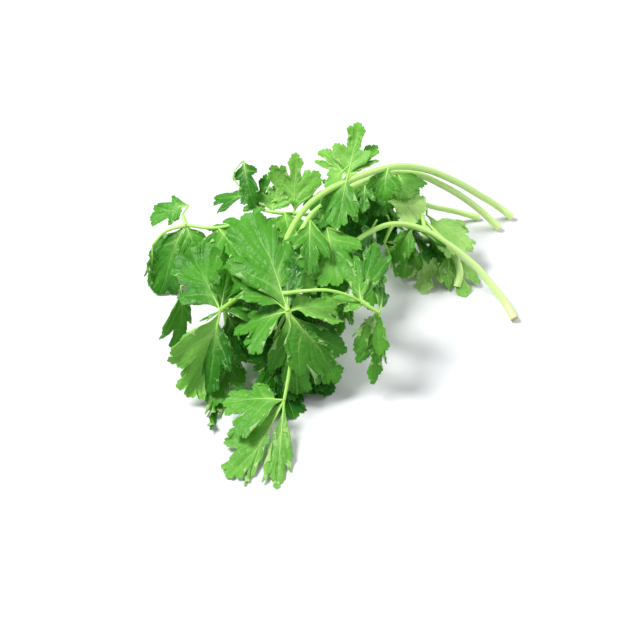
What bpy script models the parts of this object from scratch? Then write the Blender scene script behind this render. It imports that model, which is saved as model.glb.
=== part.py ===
"""A loose bunch of cut coriander lying on a flat surface: seven leafy stems, each one solid.

Lengths are in millimetres in the tables below and metres in the scene. X runs along the bunch from the
leafy tops (-X) to the cut ends (+X), Z is up, and the surface it lies on is z = 0.
"""

import bpy
import numpy as np

INNER_ACROSS = np.linspace(-1, 1, 5)  # the facets round a blade's base, and how far out they reach
INNER_REACH = 0.36
BLADE_THICKNESS = 0.72  # a real one is about 0.3, too thin for a solid to print or to collide with
STEM_SIDES = 8
STALK_SIDES = 5
RIB_SIDES = 4
STALK_RADIUS = 1.1  # at the stem, tapering to RIB_RADIUS at the leaf's node
RIB_RADIUS = 0.85
RIB_END_RADIUS = 0.45
RIB_REACH = 0.15  # how far the stalk runs on into the blade, as a share of the blade's length
STEM_STEP = 10.0  # length of one straight piece of a stem
STALK_STEP = 8.0
TOOTH_DEPTH = 0.08  # share of the blade's length
TEETH_BY_LENGTH = ((22, 5), (13, 4), (0, 3))  # teeth on each side of the midrib of a blade longer than this
MIDDLE_ROUND, SIDE_ROUND = 0.20, 0.12  # how far a lobe's rim falls from its middle to its edge, as shares
SIDE_MIDDLE, SIDE_HALF = 0.66, 0.34  # where the side lobes lie across half the fan
CORNER_WIDTH = 0.25  # share of half the fan over which the side lobes fall to the fan's edge
FAN_AT_BASE, FAN_GAIN = 0.88, 0.16  # how far the fan is open at the base, and what it gains by the rim
SMALL = 0.02  # a step over the blade, to find which way it faces
NEAR_BASE = 0.1  # the nearest to the base that such a step is taken
ASKEW = np.array([0.3, 0.1, 1.0])  # a direction no stem starts along, to set its first ring square to
MM = 0.001
CENTRE = (14.6, 12.5)  # middle of the bunch in the tables' X and Y, moved to the origin
SOLVER = "MANIFOLD"
GREEN = (0.13, 0.36, 0.05, 1.0)

# Blade kinds: half the angle of the fan, length of the side lobes, depth of the cleft between the lobes, depth of
# the cleft within a side lobe, and how wide the clefts gape, in teeth. Lengths are shares of the blade's own.
KINDS = {
    "broad": (56, 0.90, 0.28, 0.14, 1.0),
    "trio": (50, 0.86, 0.34, 0.14, 1.0),
    "cut": (54, 0.86, 0.50, 0.20, 1.3),
    "narrow": (30, 0.86, 0.18, 0.08, 1.0),
}
# Where the two clefts on each side lie across the fan, by the number of teeth on a side.
CLEFTS = {5: (5 / 10, 9 / 10), 4: (3 / 8, 7 / 8), 3: (3 / 6, 5 / 6)}
CORNER = 0.5  # length of the fan's two edges, as a share of the side lobes'

SPRIGS = {
    "front": {
        "stem": [
            (132, -28, 2.2), (128, -21, 8), (118, -15, 18), (102, -7, 33), (86, 1, 45), (70, 6, 53),
            (55, 9, 57), (38, 12, 59), (24, 15, 59), (9, 16, 57), (-4, 14, 53), (-17, 9, 48),
            (-30, -2, 44), (-39, -14, 40),
        ],
        "radii": (2.4, 1.5),
        "leaves": [
            (
                [(-39, -14, 40)],
                [
                    ((-39, -14, 40), (-12, 31, 58), 18, 0, "broad", 0.80, 0.3),
                    ((-39, -14, 40), (-38, 19, 44), 15, 10, "trio", 0.85, 0.3),
                    ((-39, -14, 40), (-21, 2, 50), 10, -10, "narrow", 1.22, 0.2),
                    ((-39, -14, 40), (-53, 5, 27), 25, 0, "broad", 1.17, 0.3),
                    ((-39, -14, 40), (-53, -32, 8), 30, 0, "broad", 0.75, 0.5),
                    ((-39, -14, 40), (-17, -25, 33), 35, 0, "trio", 0.85, 0.4),
                    ((-39, -14, 40), (-31, -40, 11), 40, 50, "trio", 0.75, 0.6),
                    ((-39, -14, 40), (-37, -37, 4), 40, 30, "trio", 0.85, 0.5),
                ],
            ),
            (
                [(-34, -6, 43), (-32, -18, 50), (-27, -27, 52), (-21, -35, 49), (-18, -39, 46)],
                [
                    ((-18, -39, 46), (10, -24, 54), -10, 0, "cut", 0.94, 0.2),
                    ((-18, -39, 46), (-6, -27, 50), 10, 0, "narrow", 0.94, 0.2),
                ],
            ),
            (
                [(-18, -39, 46), (-15, -47, 42)],
                [
                    ((-15, -47, 42), (-26, -42, 22), 25, -15, "cut", 0.66, 0.4),
                    ((-15, -47, 42), (-24, -54, 9), 35, 0, "cut", 0.42, 0.5),
                    ((-15, -47, 42), (8, -31, 39), 20, 55, "trio", 0.85, 0.4),
                ],
            ),
            (
                [(-39, -14, 40), (-45, -21, 28), (-54, -27, 20), (-63, -32, 14)],
                [
                    ((-63, -32, 14), (-77, -8, 8), 22, 0, "broad", 0.99, 0.3),
                    ((-63, -32, 14), (-105, -41, 0), -24, 0, "cut", 0.80, 0.1),
                    ((-63, -32, 14), (-95, -55, 0), -24, 0, "cut", 0.52, 0.1),
                ],
            ),
            (
                [(-38, -13, 40), (-40, -7, 22), (-42, -6, 12)],
                [
                    ((-42, -6, 12), (-56, -13, 3), 25, 0, "trio", 0.89, 0.4),
                    ((-40, -5, 18), (-51, 4, 13), 15, 0, "trio", 0.94, 0.4),
                    ((-42, -6, 12), (-59, -35, 0), -12, 0, "trio", 0.75, 0.3),
                    ((-42, -6, 12), (-34, -38, 0), -8, 0, "broad", 0.85, 0.3),
                ],
            ),
            (
                [(36, 12, 59), (38, 14, 62)],
                [
                    ((38, 14, 62), (14, 1, 47), 25, 0, "broad", 0.60, 0.3),
                ],
            ),
            (
                [(61, 8, 56)],
                [
                    ((60, 6, 57), (48, 0, 46), 30, 0, "trio", 0.85, 0.4),
                ],
            ),
        ],
    },
    "left": {
        "stem": [
            (119, -28, 2.1), (116, -20, 9), (108, -11, 20), (97, -3, 31), (86, 4, 40), (73, 10, 46),
            (57, 12, 50), (43, 15, 51), (29, 17, 50), (17, 19, 47), (5, 18, 41), (-20, 14, 37),
            (-39, 14, 35), (-54, 14, 35),
        ],
        "radii": (2.3, 1.4),
        "leaves": [
            (
                [(-54, 14, 35)],
                [
                    ((-54, 14, 35), (-80, 10, 3), 30, -45, "trio", 0.89, 0.5),
                    ((-54, 14, 35), (-75, 2, 6), 30, 10, "trio", 0.80, 0.5),
                    ((-54, 14, 35), (-36, 51, 38), 20, 0, "trio", 0.94, 0.3),
                    ((-54, 14, 35), (-59, 23, 26), 10, 0, "trio", 0.85, 0.3),
                    ((-54, 14, 35), (-37, 26, 42), 15, 40, "narrow", 1.22, 0.2),
                    ((-54, 14, 35), (-39, 12, 30), 20, 0, "trio", 0.85, 0.3),
                ],
            ),
            (
                [(-46, 14, 35), (-47, 25, 33), (-44, 37, 32)],
                [
                    ((-44, 37, 32), (-65, 37, 3), 35, -65, "broad", 0.80, 0.4),
                ],
            ),
            (
                [(-51, 14, 35), (-51, 14, 22), (-50, 13, 13)],
                [
                    ((-50, 13, 13), (-62, -2, 5), 20, 0, "trio", 0.85, 0.3),
                    ((-50, 13, 13), (-91, -10, 0), -16, -20, "narrow", 0.56, 0.2),
                ],
            ),
            (
                [(73, 10, 46)],
                [
                    ((73, 10, 46), (67, -4, 39), 30, 0, "broad", 1.13, 0.4),
                ],
            ),
        ],
    },
    "far_left": {
        "stem": [
            (91, -3, 1.4), (79, 8, 1), (60, 13, 8), (39, 26, 16), (18, 39, 28), (5, 50, 34),
            (-9, 61, 33), (-15, 76, 31),
        ],
        "radii": (1.8, 1.0),
        "leaves": [
            (
                [(-15, 76, 31), (-12, 81, 34)],
                [
                    ((-12, 81, 34), (-13, 101, 35), 35, 0, "broad", 1.40, 0.3),
                ],
            ),
            (
                [(-15, 76, 31)],
                [
                    ((-15, 76, 31), (-37, 74, 0), 40, 0, "broad", 0.75, 0.3),
                    ((-15, 76, 31), (-21, 62, 18), 30, 0, "trio", 0.94, 0.3),
                ],
            ),
            (
                [(-15, 76, 31), (-23, 83, 28), (-30, 86, 22)],
                [
                    ((-30, 86, 22), (-40, 81, 2), 20, -50, "trio", 0.66, 0.3),
                ],
            ),
            (
                [(-8, 61, 33)],
                [
                    ((-8, 61, 33), (-4, 52, 26), 20, 0, "trio", 0.94, 0.3),
                    ((-8, 61, 33), (-17, 48, 20), 20, 0, "trio", 1.13, 0.3),
                ],
            ),
            (
                [(3, 52, 34)],
                [
                    ((3, 52, 34), (-10, 65, 29), 20, 0, "trio", 0.75, 0.3),
                ],
            ),
        ],
    },
    "back_left": {
        "stem": [
            (99, 16, 1.4), (88, 28, 1), (69, 29, 10), (47, 33, 22), (28, 37, 32), (19, 46, 34),
            (17, 55, 33),
        ],
        "radii": (1.8, 1.0),
        "leaves": [
            (
                [(17, 55, 33), (16, 65, 40), (17, 72, 47), (24, 73, 50)],
                [
                    ((24, 73, 50), (12, 56, 36), 20, 30, "narrow", 1.13, 0.3),
                ],
            ),
            (
                [(17, 55, 33)],
                [
                    ((14, 63, 37), (9, 78, 30), 15, 0, "trio", 1.22, 0.3),
                    ((17, 55, 33), (29, 60, 46), 15, 0, "trio", 0.85, 0.3),
                ],
            ),
            (
                [(18, 47, 34)],
                [
                    ((18, 47, 34), (28, 52, 44), -10, 0, "trio", 1.22, 0.2),
                ],
            ),
            (
                [(26, 39, 33)],
                [
                    ((26, 39, 33), (40, 50, 58), -12, 0, "cut", 1.03, 0.2),
                    ((20, 40, 36), (6, 24, 33), 20, 0, "broad", 0.85, 0.3),
                ],
            ),
        ],
    },
    "back": {
        "stem": [
            (120, -14, 1.8), (109, -5, 8), (94, 1, 17), (80, 7, 28), (71, 15, 36), (66, 24, 40),
            (62, 32, 41),
        ],
        "radii": (2.0, 1.2),
        "leaves": [
            (
                [(64, 29, 41), (62, 33, 39)],
                [
                    ((62, 33, 39), (81, 44, 58), -10, 0, "trio", 0.70, 0.2),
                    ((62, 33, 39), (64, 55, 46), 10, 0, "trio", 1.13, 0.3),
                    ((62, 33, 39), (87, 32, 45), 10, 0, "trio", 0.75, 0.3),
                ],
            ),
            (
                [(62, 32, 41)],
                [
                    ((59, 28, 42), (48, 15, 30), 25, 0, "trio", 0.85, 0.3),
                    ((52, 31, 38), (26, 21, 31), 25, 0, "broad", 0.85, 0.4),
                ],
            ),
            (
                [(71, 15, 36), (69, 17, 30)],
                [
                    ((69, 17, 30), (49, 14, 17), 25, 0, "broad", 0.94, 0.4),
                    ((69, 17, 30), (71, 7, 14), 25, 0, "trio", 0.94, 0.4),
                ],
            ),
            (
                [(67, 21, 39), (59, 19, 41)],
                [
                    ((59, 19, 41), (48, 12, 33), 30, 0, "trio", 0.85, 0.4),
                ],
            ),
        ],
    },
    "centre": {
        "stem": [
            (61, -75, 2.2), (65, -67, 5), (67, -57, 10), (67, -46, 17), (66, -41, 20), (62, -31, 27),
            (57, -21, 33), (52, -14, 36), (44, -8, 38), (31, -5, 39), (18, -4, 39), (7, -1, 37),
        ],
        "radii": (2.4, 1.3),
        "leaves": [
            (
                [(8, -1, 37), (8, 4, 44), (7, 12, 52)],
                [
                    ((7, 12, 52), (-17, -7, 43), 20, -10, "trio", 0.56, 0.4),
                ],
            ),
            (
                [(19, -4, 39), (18, 3, 43), (15, 8, 45)],
                [
                    ((15, 8, 45), (-9, -19, 36), 25, 10, "trio", 0.85, 0.5),
                ],
            ),
            (
                [(20, -4, 39)],
                [
                    ((20, -4, 39), (7, -15, 30), 25, 0, "trio", 0.94, 0.4),
                ],
            ),
            (
                [(8, -1, 37), (-4, -5, 35)],
                [
                    ((-4, -5, 35), (-23, -9, 38), 10, 0, "trio", 0.94, 0.3),
                    ((-4, -5, 35), (-16, -22, 34), 20, 0, "trio", 0.94, 0.3),
                ],
            ),
            (
                [(13, -3, 38), (7, -12, 28), (0, -17, 24)],
                [
                    ((0, -17, 24), (-10, -20, 8), 20, 0, "trio", 0.56, 0.3),
                ],
            ),
            (
                [(62, -31, 27), (64, -16, 32), (64, 0, 36), (59, 4, 38)],
                [
                    ((59, 4, 38), (72, -11, 33), 20, 0, "broad", 0.94, 0.2),
                ],
            ),
            (
                [(57, -21, 33), (64, -14, 34), (71, -9, 31), (78, -7, 28)],
                [
                    ((78, -7, 28), (85, -34, 19), 15, 0, "broad", 0.70, 0.3),
                ],
            ),
            (
                [(18, -4, 39), (24, -6, 33)],
                [
                    ((24, -6, 33), (19, -23, 20), 25, 0, "broad", 0.85, 0.4),
                ],
            ),
            (
                [(7, -1, 37), (7, 5, 30)],
                [
                    ((7, 5, 30), (-7, 4, 16), 25, 0, "broad", 0.94, 0.4),
                ],
            ),
            (
                [(53, -16, 35)],
                [
                    ((53, -16, 35), (70, -21, 14), 20, 0, "trio", 1.03, 0.3),
                    ((53, -16, 35), (43, -13, 16), 20, 0, "trio", 0.75, 0.3),
                ],
            ),
            (
                [(45, -9, 38), (39, -9, 30)],
                [
                    ((39, -9, 30), (43, -14, 8), 20, 0, "narrow", 0.94, 0.3),
                ],
            ),
        ],
    },
    "right": {
        "stem": [
            (63, -39, 2), (68, -37, 7), (73, -28, 12), (73, -18, 14), (67, -7, 14),
        ],
        "radii": (2.3, 1.4),
        "leaves": [
            (
                [(72, -15, 13)],
                [
                    ((72, -15, 13), (49, -29, 0), -12, 0, "broad", 0.89, 0.2),
                ],
            ),
            (
                [(75, -25, 12)],
                [
                    ((75, -25, 12), (56, -48, 0), -12, 0, "trio", 0.75, 0.2),
                    ((75, -25, 12), (59, -36, 2), 15, 0, "trio", 0.75, 0.2),
                ],
            ),
            (
                [(67, -7, 14)],
                [
                    ((67, -7, 14), (49, -14, 3), 25, 0, "trio", 0.94, 0.3),
                    ((67, -7, 14), (48, -4, 12), 25, 0, "trio", 0.94, 0.3),
                ],
            ),
        ],
    },
}

def unit(vector):
    return vector / np.linalg.norm(vector)


def outline(kind, teeth, across, toothed):
    """Length of the blade in each direction of its fan: rounded lobes, the clefts between them, and the teeth."""
    _, side_length, cleft, side_cleft, gape = KINDS[kind]
    across = np.abs(across)
    first, second = CLEFTS[teeth]
    middle_lobe = 1 - MIDDLE_ROUND * (across / first) ** 2
    side_lobe = side_length * (1 - SIDE_ROUND * ((across - SIDE_MIDDLE) / SIDE_HALF) ** 2)
    length = np.where(across < first, middle_lobe, side_lobe)
    length = length * (CORNER + (1 - CORNER) * np.sqrt(np.clip((1 - across) / CORNER_WIDTH, 0, 1)))
    width = gape / (2 * teeth)
    notch = cleft * np.clip(1 - np.abs(across - first) / width, 0, 1)
    notch += side_cleft * np.clip(1 - np.abs(across - second) / width, 0, 1)
    return length * (1 - notch) * (1 - TOOTH_DEPTH * toothed)


def teeth_of(blade):
    """Teeth on each side of the midrib, by the size of the blade."""
    length = np.linalg.norm(np.array(blade[1], float) - np.array(blade[0], float))
    return next(teeth for least, teeth in TEETH_BY_LENGTH if length > least)


def blade_frame(base, tip, bank):
    """Along, up and sideways of a blade: up leans by `bank` degrees about the line from base to tip."""
    along = unit(tip - base)
    up = np.array([0.0, 0.0, 1.0])
    if abs(along[2]) > 0.995:
        up = np.array([-1.0, 0.0, 0.0])
    up = unit(up - (up @ along) * along)
    side = np.cross(along, up)
    turn = np.radians(bank)
    return along, np.cos(turn) * up + np.sin(turn) * side, np.cos(turn) * side - np.sin(turn) * up


def blade_surface(blade, across, reach):
    """Points of the blade's middle surface, `reach` of its length from the base in the fan's direction `across`.
    It arches along its length through `droop` degrees, its sides fall by `cup`, and it never goes under z = 0."""
    base, tip, droop, bank, kind, wide, cup = blade
    base, tip = np.array(base, float), np.array(tip, float)
    along, up, side = blade_frame(base, tip, bank)
    chord = np.linalg.norm(tip - base)
    bend = np.radians(droop if abs(droop) > 1 else 1)
    length = chord * (bend / 2) / np.sin(bend / 2)
    turn = np.radians(KINDS[kind][0]) * across * (FAN_AT_BASE + FAN_GAIN * reach)
    sideways = length * reach * np.sin(turn) * wide
    forward = length * reach * np.cos(turn)
    slope = bend / 2 - bend * forward / length
    fall = -cup * sideways**2 / length
    x = (length / bend) * (np.sin(bend / 2) - np.sin(slope)) - fall * np.sin(slope)
    z = (length / bend) * (np.cos(slope) - np.cos(bend / 2)) + fall * np.cos(slope)
    points = base + x[..., None] * along + z[..., None] * up + sideways[..., None] * side
    points[..., 2] = np.maximum(points[..., 2], BLADE_THICKNESS / 2)
    return points


def blade_normals(blade, across, reach):
    """Which way the middle surface faces at each of those points, from two small steps along it."""
    here = blade_surface(blade, across, reach)
    outward = blade_surface(blade, across, reach + SMALL) - here
    near = np.maximum(reach, NEAR_BASE)
    aside = blade_surface(blade, across + SMALL, near) - blade_surface(blade, across - SMALL, near)
    normals = np.cross(outward, aside)
    return normals / np.linalg.norm(normals, axis=-1)[..., None]


def blade_solid(blade, thickness=BLADE_THICKNESS):
    """A closed blade: a few wide facets round its base, then one facet for each side of each tooth, and the whole
    moved half the thickness each way along its normal."""
    teeth = teeth_of(blade)
    inner_count = len(INNER_ACROSS)
    rim = np.linspace(-1, 1, 4 * teeth + 1)
    across = np.concatenate([[0.0], INNER_ACROSS, rim])
    inner_reach = INNER_REACH * (1 - 0.25 * np.abs(INNER_ACROSS) ** 3)
    rim_reach = outline(blade[4], teeth, rim, np.arange(len(rim)) % 2)
    reach = np.concatenate([[0.0], inner_reach, rim_reach])
    points = blade_surface(blade, across, reach)
    normals = blade_normals(blade, across, reach)
    vertices = np.concatenate([points + normals * thickness / 2, points - normals * thickness / 2])
    vertices[:, 2] = np.maximum(vertices[:, 2], 0)
    under = len(points)
    rim_start = 1 + inner_count
    sheet = []
    k = 0
    for i in range(len(rim) - 1):
        sheet.append((1 + k, rim_start + i, rim_start + i + 1))
        while k < inner_count - 1 and INNER_ACROSS[k + 1] <= rim[i + 1] + 1e-9:
            sheet += [(0, 1 + k, 2 + k), (1 + k, rim_start + i + 1, 2 + k)]
            k += 1
    edges = [(i, i + 1) for i in range(rim_start, rim_start + len(rim) - 1)]
    edges += [(0, 1), (1, rim_start), (rim_start + len(rim) - 1, inner_count), (inner_count, 0)]
    faces = sheet + [(c + under, b + under, a + under) for a, b, c in sheet]
    faces += [(b, a, a + under) for a, b in edges] + [(b, a + under, b + under) for a, b in edges]
    return vertices, np.array(faces)


def curve_through(points, step):
    """A smooth curve through the points, cut into pieces about `step` long."""
    points = np.array(points, float)
    gaps = np.linalg.norm(np.diff(points, axis=0), axis=1)
    at = np.r_[0, np.cumsum(gaps)]
    slopes = np.gradient(points, at, axis=0)
    where = np.linspace(0, at[-1], max(3, round(at[-1] / step) + 1))
    i = np.clip(np.searchsorted(at, where, side="right") - 1, 0, len(points) - 2)
    gap = gaps[i][:, None]
    x = (where - at[i])[:, None] / gap
    start = (2 * x**3 - 3 * x**2 + 1) * points[i] + (x**3 - 2 * x**2 + x) * gap * slopes[i]
    return start + (3 * x**2 - 2 * x**3) * points[i + 1] + (x**3 - x**2) * gap * slopes[i + 1]


def tube_solid(points, radii, sides):
    """A closed round bar along the points, its ring turned as little as possible from one to the next."""
    tangents = np.gradient(points, axis=0)
    tangents /= np.linalg.norm(tangents, axis=1)[:, None]
    across = unit(np.cross(tangents[0], ASKEW))
    angles = np.arange(sides) * 2 * np.pi / sides
    rings = []
    for point, tangent, radius in zip(points, tangents, radii):
        across = unit(across - (across @ tangent) * tangent)
        other = np.cross(tangent, across)
        ring = np.cos(angles)[:, None] * across + np.sin(angles)[:, None] * other
        rings.append(point + radius * ring)
    vertices = np.concatenate(rings + [points[:1], points[-1:]])
    vertices[:, 2] = np.maximum(vertices[:, 2], 0)
    faces = []
    last = (len(points) - 1) * sides
    for k in range(sides):
        nxt = (k + 1) % sides
        for ring in range(0, last, sides):
            a, b, c, d = ring + k, ring + nxt, ring + sides + nxt, ring + sides + k
            faces += [(a, b, c), (a, c, d)]
        faces += [(last + sides, nxt, k), (last + sides + 1, last + k, last + nxt)]
    return vertices, np.array(faces)


def stem_of(sprig):
    """A sprig's main stem, thinning from its cut end."""
    points = curve_through(sprig["stem"], STEM_STEP)
    return tube_solid(points, np.linspace(*sprig["radii"], len(points)), STEM_SIDES)


def stalk_of(stalk):
    """A leaf's stalk, from the stem to the leaf's node."""
    points = curve_through(stalk, STALK_STEP)
    return tube_solid(points, np.linspace(STALK_RADIUS, RIB_RADIUS, len(points)), STALK_SIDES)


def rib_of(node, blade):
    """From the leaf's node to the base of a blade that stands off it, and on under its midrib."""
    inside = blade_surface(blade, np.zeros(1), np.full(1, RIB_REACH))
    points = np.array([node, blade[0], *inside], float)
    return tube_solid(points, np.array([RIB_RADIUS, RIB_RADIUS, RIB_END_RADIUS]), RIB_SIDES)


def pieces_of(sprig):
    """Every closed piece of a sprig, as (name, vertices, faces)."""
    pieces = [("stem", *stem_of(sprig))]
    for i, (stalk, blades) in enumerate(sprig["leaves"]):
        if len(stalk) > 1:
            pieces.append((f"stalk{i}", *stalk_of(stalk)))
        for j, blade in enumerate(blades):
            if blade[0] != stalk[-1]:
                pieces.append((f"rib{i}.{j}", *rib_of(stalk[-1], blade)))
            pieces.append((f"blade{i}.{j}", *blade_solid(blade)))
    return pieces


def add_object(name, vertices, faces, collection):
    mesh = bpy.data.meshes.new(name)
    placed = (vertices - np.array([*CENTRE, 0.0])) * MM
    mesh.from_pydata(placed.tolist(), [], faces.tolist())
    mesh.validate()
    obj = bpy.data.objects.new(name, mesh)
    collection.objects.link(obj)
    return obj


def outer_surface(mesh):
    """Triangles of the mesh's one outer skin: a hollow sealed in between joined leaves is filled."""
    mesh.calc_loop_triangles()
    points = np.empty(len(mesh.vertices) * 3, np.float32)
    mesh.vertices.foreach_get("co", points)
    faces = np.empty(len(mesh.loop_triangles) * 3, np.int32)
    mesh.loop_triangles.foreach_get("vertices", faces)
    points, faces = points.reshape(-1, 3), faces.reshape(-1, 3)
    ends = np.sort(np.concatenate([faces[:, :2], faces[:, 1:], faces[:, ::2]]), axis=1)
    edge = np.unique(ends, axis=0, return_inverse=True)[1].reshape(3, -1)
    body = np.arange(len(faces))
    for _ in range(len(faces)):
        lowest = np.full(edge.max() + 1, len(faces))
        np.minimum.at(lowest, edge.ravel(), np.tile(body, 3))
        spread = lowest[edge].min(axis=0)
        if (spread == body).all():
            break
        body = spread
    volume = np.bincount(body, weights=np.linalg.det(points[faces]))
    faces = faces[body == volume.argmax()]
    used, faces = np.unique(faces, return_inverse=True)
    return points[used], faces.reshape(-1, 3)


def add_sprig(name, sprig):
    """One solid: the stem with every stalk, rib and blade joined to it."""
    scene = bpy.context.scene.collection
    material = bpy.data.materials.new(name)
    material.use_nodes = True
    shader = material.node_tree.nodes["Principled BSDF"]
    shader.inputs["Base Color"].default_value = GREEN
    shader.inputs["Roughness"].default_value = 0.6
    pieces = pieces_of(sprig)
    trunk = add_object(name + "_stem", pieces[0][1], pieces[0][2], scene)
    joined = bpy.data.collections.new(name + "_pieces")
    scene.children.link(joined)
    others = [add_object(f"{name}_{label}", v, f, joined) for label, v, f in pieces[1:]]
    union = trunk.modifiers.new("join", "BOOLEAN")
    union.operation = "UNION"
    union.operand_type = "COLLECTION"
    union.collection = joined
    union.solver = SOLVER
    bpy.context.view_layer.update()
    graph = bpy.context.evaluated_depsgraph_get()
    union_mesh = bpy.data.meshes.new_from_object(trunk.evaluated_get(graph))
    vertices, faces = outer_surface(union_mesh)
    bpy.data.meshes.remove(union_mesh)
    for piece in [trunk, *others]:
        bpy.data.objects.remove(piece, do_unlink=True)
    bpy.data.collections.remove(joined)
    mesh = bpy.data.meshes.new(name)
    mesh.from_pydata(vertices.tolist(), [], faces.tolist())
    mesh.materials.append(material)
    scene.objects.link(bpy.data.objects.new(name, mesh))


def main():
    for obj in list(bpy.data.objects):
        bpy.data.objects.remove(obj, do_unlink=True)
    for name, sprig in SPRIGS.items():
        add_sprig("sprig_" + name, sprig)


if __name__ == "__main__":
    main()
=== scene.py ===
"""A loose bunch of cut coriander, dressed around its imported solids.

Every leaflet, petiole and stem is a surface worked out from the tables below, in the frame of the solids.
Lengths in the tables are millimetres. X runs from the leafy tops (-X) to the cut ends (+X), Z is up, and the
surface the bunch lies on is z = 0.
"""

from collections import namedtuple

import bpy
import numpy as np
from bpy.props import FloatProperty, FloatVectorProperty, IntProperty, PointerProperty
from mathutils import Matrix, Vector


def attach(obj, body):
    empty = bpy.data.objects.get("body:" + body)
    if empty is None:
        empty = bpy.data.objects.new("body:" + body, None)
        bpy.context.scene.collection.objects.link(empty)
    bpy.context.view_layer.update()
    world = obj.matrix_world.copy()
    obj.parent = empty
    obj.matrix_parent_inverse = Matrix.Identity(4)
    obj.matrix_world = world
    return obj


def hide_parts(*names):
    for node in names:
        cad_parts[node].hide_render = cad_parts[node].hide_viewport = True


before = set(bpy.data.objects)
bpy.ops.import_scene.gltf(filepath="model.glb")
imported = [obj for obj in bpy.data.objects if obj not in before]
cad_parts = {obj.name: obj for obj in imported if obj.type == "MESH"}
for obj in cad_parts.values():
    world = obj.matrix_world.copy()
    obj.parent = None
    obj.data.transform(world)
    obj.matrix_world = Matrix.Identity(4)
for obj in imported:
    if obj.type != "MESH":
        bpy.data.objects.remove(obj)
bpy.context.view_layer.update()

bl_info = {
    "name": "Coriander Bunch",
    "version": (1, 0, 0),
    "blender": (4, 5, 0),
    "location": "View3D > Sidebar > Coriander",
    "description": "Builds a loose bunch of cut coriander: lobed toothed leaflets, ribbed stems and petioles",
    "category": "Add Mesh",
}

CENTRE = np.array([14.6, 12.5, 0.0])  # middle of the bunch in the tables' X and Y
MM = 0.001

Blade = namedtuple("Blade", "base tip droop bank kind wide cup")

# Blade kinds: the outer lobe's direction, half width and length, then how far the clefts leave the blade whole.
# Angles are degrees, and lengths are shares of the blade's.
KINDS = {
    "broad": (43, 19, 0.80, 0.60),
    "trio": (39, 18, 0.76, 0.50),
    "cut": (40, 20, 0.82, 0.30),
    "narrow": (31, 11, 0.66, 0.60),
}

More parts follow.
